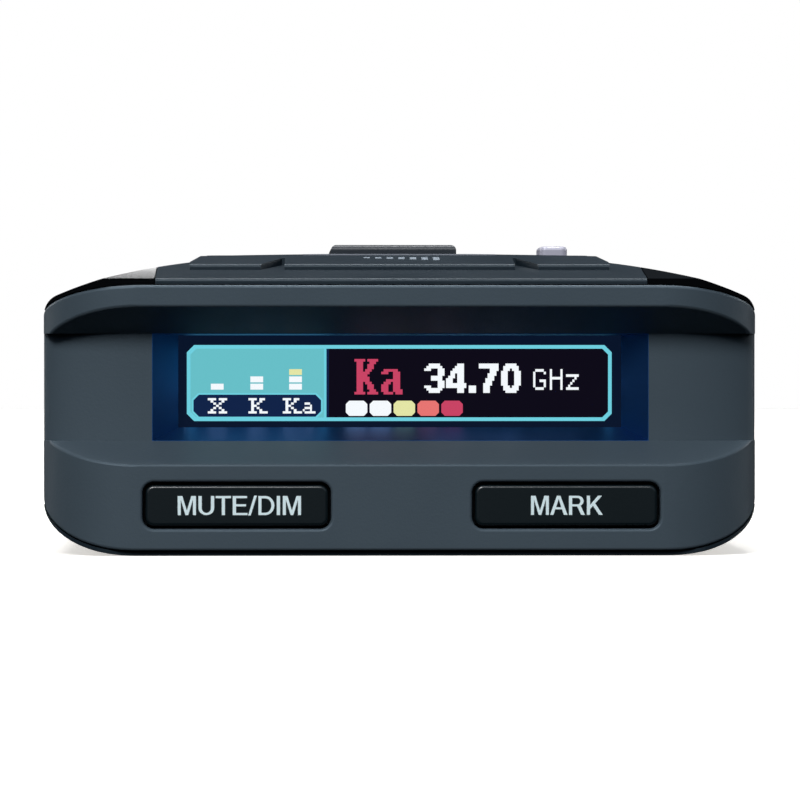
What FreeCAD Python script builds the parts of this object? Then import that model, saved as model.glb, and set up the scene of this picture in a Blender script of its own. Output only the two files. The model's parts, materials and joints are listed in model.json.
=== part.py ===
"""Windshield radar detector, modelled as an assembly of separate pieces.

Frame, in millimetres: +Z up, +X to the driver's right, the display faces -Y and the
antenna end faces +Y. The origin is the centre of the footprint, on the bottom face.
Each piece is written to parts/NODE.step.
"""

import FreeCAD, Part

import math
import os

from FreeCAD import Vector

# ---------------------------------------------------------------- driving dimensions

# casing envelope
body_width = 70.0
body_length = 122.0
crown_z = 28.8            # highest line of the casing beside the raised deck
deck_rise = 0.55          # the deck stands this far above the crown
wall = 2.0                # casing wall
seam = 0.1                # gap between two fixed casing pieces
fit = 0.15                # gap round a piece that moves
mate = 0.05               # gap between inner pieces that touch in use
root = 0.5                # how far a boss, post or rib reaches into the wall it grows from

# casing outline seen from above
rear_corner_x = 9.5
rear_corner_y = 7.5
side_straight = 58.0      # length of the parallel sides, from the display end
front_narrowing = 3.2     # each side comes in by this much at the antenna end
front_corner_x = 8.5
front_corner_y = 7.5
front_bow = 1.2
plan_margin = 0.03        # keeps the outline and the cross-section from sharing faces

# casing outline seen from the display end
lower_corner_x = 9.0
lower_corner_z = 5.2
crown_half = 20.3         # half width of the level crown
shoulder_mid_x = 28.1
shoulder_mid_z = 27.2
shoulder_end_z = 24.75
shoulder_round = 2.2
shoulder_mid_draw = (0.2, 0.97)   # how far the arc's middle moves in X and Z per mm of inset
shoulder_end_draw = 0.9            # and its lower end in Z

# casing outline seen from the side
lip_setback = 0.7         # the covers end this far short of the display end's face
crease_round = 0.35       # softening of the top cover's rear edge
lip_z = 26.95             # height of the top cover's rear edge
ramp_length = 15.0        # from the display end to the level crown
nose_length = 32.0        # from the level crown to the antenna end
nose_mid_drop = 1.45
nose_top_z = 23.4
nose_top_back = 3.4
nose_face_z = 14.0
chin_z = 3.0
chin_length = 6.0
split_z = 8.6             # where the top and bottom covers meet

# display-end bezel
bezel_length = 15.0
bezel_top_z = 26.3
bezel_bottom_z = 0.5
bezel_top_corner_x = 10.0
bezel_top_corner_z = 3.0
bezel_lip = 1.0           # inner tongue that locates the covers
bezel_lip_length = 3.0
scoop_low_z = 8.85        # mouth of the scoop across the display end
scoop_high_z = 24.25
pillar_low_z = 11.1       # flat back of the scoop
pillar_high_z = 21.6
scoop_depth = 4.5
pillar_sweep = 3.0        # the scoop's back curves in by this much more at the sides
recess_width = 48.6       # display recess in the back of the scoop
recess_depth = 3.0
glass_opening_width = 43.7
glass_opening_low_z = 12.35
glass_opening_high_z = 21.45
edge_round = 0.3          # softening of moulded outer edges

# display
window_thickness = 1.2
window_overlap = 1.2
gasket_thickness = 0.4
gasket_width = 1.0
panel_thickness = 1.5
panel_overlap = 0.9
screen_z = 16.8
board_thickness = 1.6
display_board_back = 11.6  # front of the display board, from the display end
display_board_width = 59.0
display_board_low_z = 3.4
display_board_high_z = 23.2
tray_margin = 1.9
tray_lip = 2.0            # ledge behind the panel
post_x = 27.6
post_low_z = 10.4
post_high_z = 20.9
post_radius = 2.0

# keys on the display end
rear_key_x = 16.0
rear_key_z = 4.9
rear_key_width = 17.7
rear_key_height = 3.95
rear_key_gap = 0.3
rear_key_set_back = 0.1
rear_key_round = 0.8
rear_key_wing = 0.9       # ears at both ends that keep the key in
rear_key_wing_thickness = 0.9
rear_key_edge = 0.3
rear_key_stem_radius = 1.4
key_travel = 0.5

# push switches
switch_side = 6.0
rear_switch_side = 3.4     # the display-end switches are slim upright ones
switch_height = 3.5
plunger_radius = 1.2
plunger_proud = 1.0
plunger_sunk = 0.8         # how far it reaches into the switch
plunger_hole = 1.5         # depth of the hole it works in

# raised deck
deck_half_rear = 20.7
deck_bevel = 1.0
deck_start = 8.0          # from the display end
deck_end = 36.0           # short of the antenna end
deck_end_slope = 2.5
deck_edge_round = 0.35
deck_crown = 0.25         # the middle of the deck stands this much above its sides
groove_start = (11.35, 13.7)   # the groove's two edges at the deck's rear edge
groove_end = (11.3, 11.6)      # and where it runs out, below the level part
groove_length = 4.0

# keys on the deck
top_key_x = 15.2
top_key_width = 8.4
top_key_length = 6.6
top_key_round = 1.6
top_key_edge = 0.3
top_key_proud = 0.15
top_key_stem_radius = 1.8
top_key_flange = 0.8
top_key_flange_thickness = 0.9
near_key_y = 21.2         # from the display end
key_pitch = 9.0

# windshield-bracket receiver
receiver_width = 13.0
receiver_wall = 1.2
receiver_top_z = 30.9
receiver_round = 0.55
receiver_rear = 35.0      # from the display end
hood_length = 22.0        # the roofed stretch
channel_length = 18.0     # the open stretch ahead of it
slot_roof = 1.5
slot_height = 4.4
receiver_floor = 1.4
receiver_flange = 3.5     # beyond the receiver's two ends
receiver_flange_half = 10.0    # half its width, clear of the deck keys
receiver_flange_thickness = 1.4

# bracket release
release_x = 17.15
release_y = 49.0          # from the display end
release_width = 2.9
release_length = 8.0
release_top_z = 30.95
release_round = 0.6
release_edge = 0.4
release_travel = 1.2
release_skirt_z = 28.0    # underside of the button's cap
release_leg = 1.2
release_hook = 0.9
release_hook_low_z = 25.9
wedge_length = 3.0
wedge_tip = 0.1           # thickness of the wedge at its lower end
latch_thickness = 1.2
latch_width = 5.0
latch_tooth_proud = 1.1
latch_end_x = 20.2
latch_rail = 0.8
latch_pad_z = 24.0
latch_spring_length = 2.5
latch_spring_radius = 1.0
latch_spring_wire = 0.3
latch_spring_turns = 3
latch_spring_z = 25.15
spring_rib_width = 1.2
spring_rib_half = 3.0      # half its length along the casing
strap_x = 12.2
strap_width = 3.6
strap_length = 13.6
strap_thickness = 1.0
strap_post_radius = 1.8
strap_screw_bite = 3.0

# main board and what stands on it
main_board_z = 16.0       # underside
main_board_width = body_width - 24.0
main_board_rear = 15.6    # from the display end
main_board_front = 12.4   # short of the antenna end
standoff_radius = 2.2
standoff_rear_x = 6.5
standoff_front_x = 21.3
standoff_rear = 20.4      # from the display end
standoff_front = 84.0
can_width = 32.0
can_length = 16.0
can_height = 2.8
can_wall = 0.3
can_round = 0.5
can_rear = 73.0           # from the display end
gps_side = 15.0
gps_height = 4.0
gps_ground = 0.8
gps_back = 22.0           # centre, short of the antenna end
ribbon_width = 20.0
ribbon_thickness = 0.2
ribbon_rise = 3.4
ribbon_foot = 1.4          # how far it lies on the main board
capacitor_radius = 3.0
capacitor_height = 5.0
capacitor_round = 0.4
capacitor_places = [(-18, 44), (-18, 53), (5, 46)]    # (x, y from the display end)
chip_places = [            # (x, y from the display end, width, length, height)
    (0, 34, 10, 10, 1.4),
    (-9, 63, 7, 7, 1.2),
    (9, 65, 8, 5, 1.2),
    (19, 43, 5, 6, 1.2),
]

# antenna horn
horn_width = 44.0
horn_low_z = wall + 1.4
horn_height = 10.6
horn_length = 44.0
horn_wall = 1.6
horn_back = wall + 2.6    # short of the antenna end
horn_lid = 1.95
horn_lid_screws = [(16.0, 4.0), (18.0, 21.0)]   # (x, in from the horn's back end)
horn_ear_x = 24.5
horn_ear_radius = 2.2
horn_ear_thickness = 1.6
horn_ear_inset = 5.6      # ear centres, in from the horn's back end
horn_ear_pitch = 26.0
horn_post_radius = 1.9
horn_screw_bite = 2.5
guide_width = 14.0
guide_height = 4.5
guide_length = 12.0
probe_radius = 0.65
probe_hole_radius = 1.2
probe_low_z = 8.0
probe_inset = 5.6         # in from the horn's back end

# laser receiver
laser_z = 17.5
laser_lens_radius = 2.4
laser_lens_edge = 0.9
laser_lens_bulge = 0.8
lens_holder_wall = 0.8
lens_holder_length = 4.5
lens_shelf = 0.35         # the shelf the lens sits against
lens_pocket_spare = 0.3   # room behind the lens for the detector
laser_lens_back = 6.6     # lens front, short of the antenna end
laser_board_width = 16.0
laser_board_height = 7.6
laser_board_thickness = 1.0
detector_side = 4.0
detector_thickness = 1.2

# antenna-end window
nose_window_width = 46.0
nose_window_low_z = 5.2
nose_window_high_z = 23.0
nose_window_round = 3.5
nose_window_inset = 0.35
nose_window_thickness = 1.6
nose_window_flange = 1.2
nose_window_flange_thickness = 0.8

# glossy shoulder trims
trim_thickness = 1.0
trim_inner_x = 24.0
trim_low_z = 21.6
trim_end = 26.0           # short of the antenna end

# speaker
speaker_y = 37.0          # centre, from the display end
speaker_radius = 14.0
speaker_height = 5.0
speaker_rim = 1.0
basket_wall = 1.0
basket_lip = 1.4          # width of the rim's flat face
basket_seat = 0.3
cone_wall = 0.4
cone_edge = 2.2           # the cone's edge, in from the basket's
cone_throat = 3.2
cone_height = 2.6
speaker_felt_thickness = 0.4
speaker_felt_width = 1.8
speaker_fence = 1.2
speaker_fence_height = 3.0
magnet_radius = 7.0
magnet_height = 2.6
magnet_round = 0.4
slot_width = 1.3
slot_pitch = 3.0
slot_count = 7
slot_reach = 12.0         # the slots stay this close to the speaker's centre
lead_radius = 0.4
lead_x = 2.0
lead_back = 3.0           # from the basket's edge
lead_lift = 0.6           # above the floor
lead_bead_radius = 0.56   # the blob of glue on each lead
lead_bead_drop = 3.0      # below the main board

# sockets on the left side
power_y = 53.0            # from the display end
audio_y = 64.5
usb_y = 75.0
power_bore_radius = 1.85
power_pin_radius = 0.65
audio_bore_radius = 1.8
socket_depth = 10.0
socket_body = 12.0
socket_side = 6.4
socket_width = 8.6
socket_nose_radius = 2.8
socket_set_back = 0.3     # the nose ends this far inside the casing's side
usb_shell_width = 7.7
usb_shell_height = 3.9
usb_shell_wall = 0.4
usb_depth = 7.4
usb_tongue_width = 5.4
usb_tongue_height = 0.9
usb_tongue_back = 0.8      # the tongue ends this far inside the shell
usb_back = 0.6             # thickness of the shell's closed end

# fasteners
case_screw_radius = 1.0
case_screw_head_radius = 2.1
case_screw_head = 1.5
case_screw_depth = 2.6    # the head's seat, above the bottom face
case_screw_bite = 7.0
case_boss_radius = 3.2
case_boss_inset = 5.9     # boss centre, in from the casing's side
case_boss_rear = 23.0     # from the display end
case_boss_front = 24.0    # short of the antenna end
small_screw_radius = 0.8
small_screw_head_radius = 1.55
small_screw_head = 1.0
small_screw_bite = 4.2

# rating label
label_width = 40.0
label_length = 24.0
label_thickness = 0.25
label_recess = 0.35
label_round = 1.5
label_y = 83.0            # centre, from the display end

# ---------------------------------------------------------------- derived places

half_width = body_width / 2
rear_y = -body_length / 2
front_y = body_length / 2
deck_z = crown_z + deck_rise
bezel_y = rear_y + bezel_length
ceiling_z = crown_z - wall
ramp_end_y = rear_y + ramp_length
big = 2 * max(body_width, body_length)   # longer than anything in the part
slot_top_z = receiver_top_z - slot_roof
slot_floor_z = slot_top_z - slot_height
board_top_z = main_board_z + board_thickness


def from_rear(distance):
    return rear_y + distance


def from_front(distance):
    return front_y - distance


# ---------------------------------------------------------------- small helpers


def box(x0, x1, y0, y1, z0, z1):
    return Part.makeBox(x1 - x0, y1 - y0, z1 - z0, Vector(x0, y0, z0))


def rod(start, direction, radius, length):
    return Part.makeCylinder(radius, length, start, direction)


def line(a, b):
    return Part.LineSegment(a, b).toShape()


def arc(a, through, b):
    return Part.Arc(a, through, b).toShape()


def quarter(centre, start, end):
    """A quarter of an ellipse, from centre + start to centre + end."""
    longer, shorter = (start, end) if start.Length >= end.Length else (end, start)
    ellipse = Part.Ellipse(centre + longer, centre + shorter, centre)
    return Part.ArcOfEllipse(ellipse, 0, math.pi / 2).toShape()


def prism(edges, direction):
    return Part.Face(Part.Wire(edges)).extrude(direction)


def polygon(points):
    return [line(a, b) for a, b in zip(points, points[1:] + points[:1])]


def mirrored(shape):
    return shape.mirror(Vector(0, 0, 0), Vector(1, 0, 0))


def rounded_outline(width, height, radius, to_point):
    """Edges of a rounded rectangle about (0, 0). to_point turns (u, v) into a Vector."""
    u, v = width / 2, height / 2
    r = radius
    turn = r * (1 - math.sqrt(0.5))
    corners = [(1, -1), (1, 1), (-1, 1), (-1, -1)]
    edges, last = [], None
    for i, (su, sv) in enumerate(corners):
        along_v = to_point(su * u, sv * (v - r))
        along_u = to_point(su * (u - r), sv * v)
        middle = to_point(su * (u - turn), sv * (v - turn))
        first, second = (along_u, along_v) if i % 2 == 0 else (along_v, along_u)
        if last is not None:
            edges.append(line(last, first))
        else:
            opening = first
        edges.append(arc(first, middle, second))
        last = second
    edges.append(line(last, opening))
    return edges


def flat_tablet(x, y, z0, z1, width, length, radius):
    """A rounded rectangle standing along Z."""
    edges = rounded_outline(width, length, radius, lambda u, v: Vector(x + u, y + v, z0))
    return prism(edges, Vector(0, 0, z1 - z0))


def upright_tablet(x, z, y0, y1, width, height, radius):
    """A rounded rectangle standing along Y."""
    edges = rounded_outline(width, height, radius, lambda u, v: Vector(x + u, y0, z + v))
    return prism(edges, Vector(0, y1 - y0, 0))


def rounded_edges(shape, radius, wanted):
    """Rounds the edges of which wanted(edge) is true."""
    return shape.makeFillet(radius, [e for e in shape.Edges if wanted(e)])


def lies_on(edge, axis, value):
    """True if the whole edge lies in the plane where that coordinate has that value."""
    low = (edge.BoundBox.XMin, edge.BoundBox.YMin, edge.BoundBox.ZMin)[axis]
    high = (edge.BoundBox.XMax, edge.BoundBox.YMax, edge.BoundBox.ZMax)[axis]
    return abs(low - value) < 1e-4 and abs(high - value) < 1e-4


def biggest(shape):
    return max(shape.Solids, key=lambda s: s.Volume)


def save(name, *shapes):
    """Writes one sub-part, each of its solids separate."""
    solids = [s for shape in shapes for s in shape.Solids]
    whole = solids[0] if len(solids) == 1 else Part.makeCompound(solids)
    whole.exportStep(os.path.join("parts", name + ".step"))


# ---------------------------------------------------------------- casing envelope


def plan_prism(inset):
    """The casing seen from above, drawn in by inset, as a tall prism.

    Its sides stand a hair outside the cross-section's, so that no two faces coincide.
    """
    side = half_width - inset + plan_margin
    rear = rear_y + inset
    a, b = rear_corner_x - inset, rear_corner_y - inset
    taper_y = from_rear(side_straight)
    nose_side = side - front_narrowing
    nose = front_y - inset
    fa, fb = front_corner_x - inset, front_corner_y - inset
    right = [
        quarter(Vector(side - a, rear + b, 0), Vector(0, -b, 0), Vector(a, 0, 0)),
        line(Vector(side, rear + b, 0), Vector(side, taper_y, 0)),
        line(Vector(side, taper_y, 0), Vector(nose_side, nose - front_bow - fb, 0)),
        quarter(Vector(nose_side - fa, nose - front_bow - fb, 0), Vector(fa, 0, 0), Vector(0, fb, 0)),
    ]
    left = [mirrored(e) for e in right]
    rear_edge = line(Vector(a - side, rear, 0), Vector(side - a, rear, 0))
    nose_corner = nose_side - fa
    nose_edge = arc(
        Vector(-nose_corner, nose - front_bow, 0),
        Vector(0, nose, 0),
        Vector(nose_corner, nose - front_bow, 0),
    )
    edges = Part.sortEdges([rear_edge, nose_edge] + right + left)[0]
    return prism(edges, Vector(0, 0, crown_z + 10))


def end_outline(inset, y, narrowing):
    """The covers seen from the display end, drawn in by inset, as a wire."""
    side = half_width - inset - narrowing
    a, b = lower_corner_x - inset, lower_corner_z - inset
    crown = Vector(crown_half, y, crown_z - inset)
    middle = Vector(
        shoulder_mid_x - shoulder_mid_draw[0] * inset - narrowing / 2,
        y,
        shoulder_mid_z - shoulder_mid_draw[1] * inset,
    )
    corner = Vector(side, y, shoulder_end_z - shoulder_end_draw * inset)
    right = [
        quarter(Vector(side - a, y, inset + b), Vector(0, 0, -b), Vector(a, 0, 0)),
        line(Vector(side, y, inset + b), corner),
        arc(corner, middle, crown),
    ]
    left = [mirrored(e) for e in right]
    level = line(crown, Vector(-crown_half, y, crown_z - inset))
    base = line(Vector(a - side, y, inset), Vector(side - a, y, inset))
    return Part.Wire(Part.sortEdges([level, base] + right + left)[0])


def end_prism(inset):
    """The covers' cross-section carried along the casing, narrowing towards the antenna end."""
    taper_y = from_rear(side_straight)
    narrowing_y = front_y - front_bow - front_corner_y
    beyond = 12.0
    last = front_narrowing * (narrowing_y + beyond - taper_y) / (narrowing_y - taper_y)
    rear = end_outline(inset, rear_y - beyond, 0)
    middle = end_outline(inset, taper_y, 0)
    front = end_outline(inset, narrowing_y + beyond, last)
    solid = Part.makeLoft([rear, middle, front], True, True)

    def at_corner(edge):
        size = edge.BoundBox
        at_side = abs(size.Center.x) > half_width - inset - last - 0.5
        return size.YLength > size.XLength + 10 and at_side and size.Center.z > split_z + 8

    return rounded_edges(solid, shoulder_round, at_corner)


def side_prism(inset):
    """The covers seen from the side, drawn in by inset, as a wide prism."""
    x = -big / 2
    rear = from_rear(lip_setback) + inset
    nose = front_y - inset
    top = crown_z - inset
    nose_start = from_front(nose_length)
    nose_top = Vector(x, from_front(nose_top_back) - inset, nose_top_z - inset)
    middle_y = (nose_start + nose_top.y) / 2
    points = [
        nose_top,
        Vector(x, nose, nose_face_z),
        Vector(x, nose, chin_z + inset / 2),
        Vector(x, nose - chin_length, inset),
        Vector(x, rear, inset),
        Vector(x, rear, lip_z - inset),
        Vector(x, ramp_end_y, top),
        Vector(x, nose_start, top),
    ]
    edges = [line(a, b) for a, b in zip(points, points[1:])]
    edges.append(arc(points[-1], Vector(x, middle_y, top - nose_mid_drop), nose_top))
    return prism(edges, Vector(big, 0, 0))


def casing(inset):
    """The covers' envelope, drawn in by inset."""
    return plan_prism(inset).common(end_prism(inset)).common(side_prism(inset))


def bezel_end_prism(inset):
    """The bezel seen from the display end, drawn in by inset, as a long prism."""
    y = -big / 2
    side = half_width - inset
    low, high = bezel_bottom_z + inset, bezel_top_z - inset
    a, b = lower_corner_x - inset, lower_corner_z - inset
    ta, tb = bezel_top_corner_x - inset, bezel_top_corner_z - min(inset, bezel_top_corner_z / 2)
    right = [
        quarter(Vector(side - a, y, low + b), Vector(0, 0, -b), Vector(a, 0, 0)),
        line(Vector(side, y, low + b), Vector(side, y, high - tb)),
        quarter(Vector(side - ta, y, high - tb), Vector(ta, 0, 0), Vector(0, 0, tb)),
    ]
    left = [mirrored(e) for e in right]
    top = line(Vector(side - ta, y, high), Vector(ta - side, y, high))
    base = line(Vector(a - side, y, low), Vector(side - a, y, low))
    return prism(Part.sortEdges([top, base] + right + left)[0], Vector(0, big, 0))


def slab(y0, y1):
    return box(-big / 2, big / 2, y0, y1, -big / 2, big / 2)


def bezel_envelope(inset, front):
    return plan_prism(inset).common(bezel_end_prism(inset)).common(slab(rear_y - 1, front))


# ---------------------------------------------------------------- bezel


def rear_key_hole(side, grow):
    width = rear_key_width + 2 * grow
    height = rear_key_height + 2 * grow
    radius = rear_key_round + grow
    return upright_tablet(
        side * rear_key_x, rear_key_z, rear_y - 1, from_rear(wall + 1), width, height, radius
    )


def scoop():
    """The wedge-sided scoop that runs right across the display end."""
    out = 1.0
    rise = (pillar_low_z - scoop_low_z) / scoop_depth * out
    drop = (scoop_high_z - pillar_high_z) / scoop_depth * out
    points = [
        Vector(-big / 2, rear_y - out, scoop_low_z - rise),
        Vector(-big / 2, from_rear(scoop_depth), pillar_low_z),
        Vector(-big / 2, from_rear(scoop_depth), pillar_high_z),
        Vector(-big / 2, rear_y - out, scoop_high_z + drop),
    ]
    return prism(polygon(points), Vector(big, 0, 0))


def pillar_sweeps():
    """The two curved ends of the scoop's back, where it follows the corners of the casing."""
    flat = half_width - rear_corner_x
    back = from_rear(scoop_depth)
    beyond = half_width + 1
    corner = Vector(half_width, back + pillar_sweep, pillar_low_z)
    centre = Vector(flat, corner.y, pillar_low_z)
    edges = [
        quarter(centre, Vector(0, -pillar_sweep, 0), Vector(rear_corner_x, 0, 0)),
        line(corner, Vector(beyond, corner.y, pillar_low_z)),
        line(Vector(beyond, corner.y, pillar_low_z), Vector(beyond, back - 0.5, pillar_low_z)),
        line(Vector(beyond, back - 0.5, pillar_low_z), Vector(flat, back - 0.5, pillar_low_z)),
        line(Vector(flat, back - 0.5, pillar_low_z), Vector(flat, back, pillar_low_z)),
    ]
    right = prism(Part.sortEdges(edges)[0], Vector(0, 0, pillar_high_z - pillar_low_z))
    return [right, mirrored(right)]


def display_recess():
    """The tapered recess between the scoop and the display window."""
    def outline(depth, width, low, high):
        corners = [(-1, low), (1, low), (1, high), (-1, high)]
        return Part.Wire(polygon([Vector(s * width / 2, from_rear(depth), z) for s, z in corners]))

    mouth = outline(scoop_depth, recess_width, pillar_low_z, pillar_high_z)
    back = outline(
        scoop_depth + recess_depth, glass_opening_width, glass_opening_low_z, glass_opening_high_z
    )
    return Part.makeLoft([mouth, back], True, True)


def board_posts():
    """(x, z) of the four posts that carry the display board."""
    return [(s * post_x, z) for s in (-1, 1) for z in (post_low_z, post_high_z)]


# ---------------------------------------------------------------- more derived places

slot_half = receiver_width / 2 - receiver_wall
receiver_y = from_rear(receiver_rear)
hood_end_y = receiver_y + hood_length
receiver_front_y = hood_end_y + channel_length
release_cy = from_rear(release_y)
latch_low_z = slot_floor_z + seam
latch_high_z = latch_low_z + latch_thickness
socket_z = main_board_z - mate - socket_side / 2
tray_back_y = from_rear(display_board_back) - mate
window_y = from_rear(scoop_depth + recess_depth) + mate
gasket_y = window_y + window_thickness + mate
panel_y = gasket_y + gasket_thickness + mate
board_front_y = from_rear(display_board_back) + mate
board_back_y = board_front_y + board_thickness
opening_mid_z = (glass_opening_low_z + glass_opening_high_z) / 2
opening_height = glass_opening_high_z - glass_opening_low_z
near_key = from_rear(near_key_y)
far_key = near_key + key_pitch
switch_top_z = board_top_z + mate + switch_height
horn_rear_y = from_front(horn_back) - horn_length
horn_front_y = from_front(horn_back)
horn_high_z = horn_low_z + horn_height
speaker_cy = from_rear(speaker_y)
speaker_z = wall + mate + speaker_felt_thickness + mate


def half_width_at(y):
    """Half the casing's width at one place along it."""
    start = from_rear(side_straight)
    end = front_y - front_bow - front_corner_y
    share = max(0.0, (y - start) / (end - start))
    return half_width - front_narrowing * share


def case_screw_places():
    rear, front = from_rear(case_boss_rear), from_front(case_boss_front)
    return [(s * (half_width_at(y) - case_boss_inset), y) for s in (-1, 1) for y in (rear, front)]


def standoff_places():
    rear = [(s * standoff_rear_x, from_rear(standoff_rear)) for s in (-1, 1)]
    front = [(s * standoff_front_x, from_rear(standoff_front)) for s in (-1, 1)]
    return rear + front


def horn_ear_places():
    first = horn_rear_y + horn_ear_inset
    return [(s * horn_ear_x, first + i * horn_ear_pitch) for s in (-1, 1) for i in (0, 1)]


def screw(seat, direction, radius, head_radius, head, bite):
    """A pan-head screw with a cross recess. direction is the way it is driven."""
    back = direction * -head
    shank = rod(seat, direction, radius, bite)
    top = rod(seat + back, direction, head_radius, head)
    top = rounded_edges(top, head * 0.35, lambda e: (e.CenterOfMass - (seat + back)).Length < 1e-6)
    across = Vector(direction.y, direction.z, direction.x)
    recess = head * 0.55
    cross = []
    for way in (across, direction.cross(across)):
        width = head_radius * 0.3
        length = head_radius * 1.2
        third = direction.cross(way)
        corner = seat + back - direction * 0.1 - way * (length / 2) - third * (width / 2)
        far = corner + way * length
        points = [corner, far, far + third * width, corner + third * width]
        cross.append(prism(polygon(points), direction * (recess + 0.1)))
    return shank.fuse(top).cut(cross[0].fuse(cross[1]))


def small_screw(seat, direction, bite=small_screw_bite):
    return screw(seat, direction, small_screw_radius, small_screw_head_radius, small_screw_head, bite)


UP = Vector(0, 0, 1)
DOWN = Vector(0, 0, -1)
FORWARD = Vector(0, 1, 0)
REARWARD = Vector(0, -1, 0)
RIGHT = Vector(1, 0, 0)

# ---------------------------------------------------------------- bezel, display and its keys


def rear_bezel():
    outer = bezel_envelope(0, bezel_y)
    hollow = bezel_envelope(wall, bezel_y + 1)
    frame_back = scoop_depth + recess_depth
    under_scoop = scoop_low_z - 0.6
    backing = box(-half_width, half_width, rear_y, from_rear(frame_back), under_scoop, bezel_top_z)
    shell = outer.cut(hollow.cut(backing))
    inset = wall + seam
    tongue = bezel_envelope(inset, bezel_y + bezel_lip_length).common(casing(inset))
    tongue = tongue.cut(bezel_envelope(inset + bezel_lip, bezel_y + bezel_lip_length + 1))
    tongue = tongue.common(slab(bezel_y - 1, bezel_y + bezel_lip_length))
    root = bezel_envelope(wall - 0.3, bezel_y).cut(bezel_envelope(inset + bezel_lip, bezel_y + 1))
    solid = shell.fuse(root.common(slab(bezel_y - 1.4, bezel_y))).fuse(tongue)
    for x, z in board_posts():
        start = Vector(x, from_rear(scoop_depth), z)
        solid = solid.fuse(rod(start, FORWARD, post_radius, display_board_back - scoop_depth))
    solid = solid.cut(scoop()).cut(display_recess())
    for sweep in pillar_sweeps():
        solid = solid.cut(sweep)
    for side in (-1, 1):
        solid = solid.cut(rear_key_hole(side, rear_key_gap))
    for x, z in board_posts():
        hole = Vector(x, from_rear(display_board_back - small_screw_bite), z)
        solid = solid.cut(rod(hole, FORWARD, small_screw_radius + mate, small_screw_bite + 1))
    solid = biggest(solid.removeSplitter())
    flat_half = half_width - rear_corner_x

    def on_face(edge):
        return lies_on(edge, 1, rear_y) and abs(edge.CenterOfMass.x) < flat_half - 0.3

    return rounded_edges(solid, edge_round, on_face)


def display_window():
    width = glass_opening_width + 2 * window_overlap
    height = opening_height + 2 * window_overlap
    return box(
        -width / 2, width / 2, window_y, window_y + window_thickness,
        opening_mid_z - height / 2, opening_mid_z + height / 2,
    )


def window_gasket():
    def ring(grow, y0, y1):
        half, rise = glass_opening_width / 2 + grow, opening_height / 2 + grow
        return box(-half, half, y0, y1, opening_mid_z - rise, opening_mid_z + rise)

    y1 = gasket_y + gasket_thickness
    outer = window_overlap - seam
    return ring(outer, gasket_y, y1).cut(ring(outer - gasket_width, gasket_y - 1, y1 + 1))


def display_panel():
    half = glass_opening_width / 2 + panel_overlap
    rise = opening_height / 2 + panel_overlap
    return box(-half, half, panel_y, panel_y + panel_thickness, opening_mid_z - rise, opening_mid_z + rise)


def display_tray():
    """Holds the window, gasket and panel against the back of the bezel."""
    inner_half = glass_opening_width / 2 + window_overlap + mate
    inner_rise = opening_height / 2 + window_overlap + mate
    lip = tray_lip
    y0, y1 = window_y, tray_back_y
    half, rise = inner_half + tray_margin, inner_rise + 1.0
    outer = box(-half, half, y0, y1, opening_mid_z - rise - tray_margin, opening_mid_z + rise)
    pocket = box(
        -inner_half, inner_half, y0 - 1, panel_y + panel_thickness + mate,
        opening_mid_z - inner_rise, opening_mid_z + inner_rise,
    )
    back = box(
        lip - inner_half, inner_half - lip, y0, y1 + 1,
        opening_mid_z - inner_rise + lip, opening_mid_z + inner_rise - lip,
    )
    return outer.cut(pocket).cut(back)


def display_board():
    half = display_board_width / 2
    board = box(-half, half, board_front_y, board_back_y, display_board_low_z, display_board_high_z)
    for x, z in board_posts():
        start = Vector(x, board_front_y - 1, z)
        board = board.cut(rod(start, FORWARD, small_screw_radius + seam, board_thickness + 2))
    return board


def display_board_screws():
    seat = board_back_y + mate
    return [small_screw(Vector(x, seat, z), REARWARD) for x, z in board_posts()]


def rear_key(side):
    front = from_rear(rear_key_set_back)
    inner_wall = from_rear(wall)
    x = side * rear_key_x
    cap = upright_tablet(
        x, rear_key_z, front, inner_wall + 1, rear_key_width, rear_key_height, rear_key_round
    )
    cap = rounded_edges(cap, rear_key_edge, lambda e: lies_on(e, 1, front))
    half = rear_key_width / 2 + rear_key_wing
    wing_y = inner_wall + mate
    rise = rear_key_height / 2 - 0.1
    wings = box(
        x - half, x + half, wing_y, wing_y + rear_key_wing_thickness, rear_key_z - rise, rear_key_z + rise
    )
    plunger_tip = board_front_y - mate - switch_height - plunger_proud
    stem = rod(
        Vector(x, inner_wall, rear_key_z), FORWARD, rear_key_stem_radius, plunger_tip - mate - inner_wall
    )
    return cap.fuse(wings).fuse(stem).removeSplitter()


def rear_switches():
    y1 = board_front_y - mate
    half, rise = switch_side / 2, rear_switch_side / 2
    solids = []
    for side in (-1, 1):
        x = side * rear_key_x
        body = box(x - half, x + half, y1 - switch_height, y1, rear_key_z - rise, rear_key_z + rise)
        start = Vector(x, y1 - switch_height - 1, rear_key_z)
        hole = rod(start, FORWARD, plunger_radius + mate, plunger_hole + 1)
        solids.append(body.cut(hole))
    return solids


def rear_plunger(side):
    face = board_front_y - mate - switch_height
    start = Vector(side * rear_key_x, face - plunger_proud, rear_key_z)
    return rod(start, FORWARD, plunger_radius, plunger_proud + plunger_sunk)


# ---------------------------------------------------------------- covers


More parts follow.
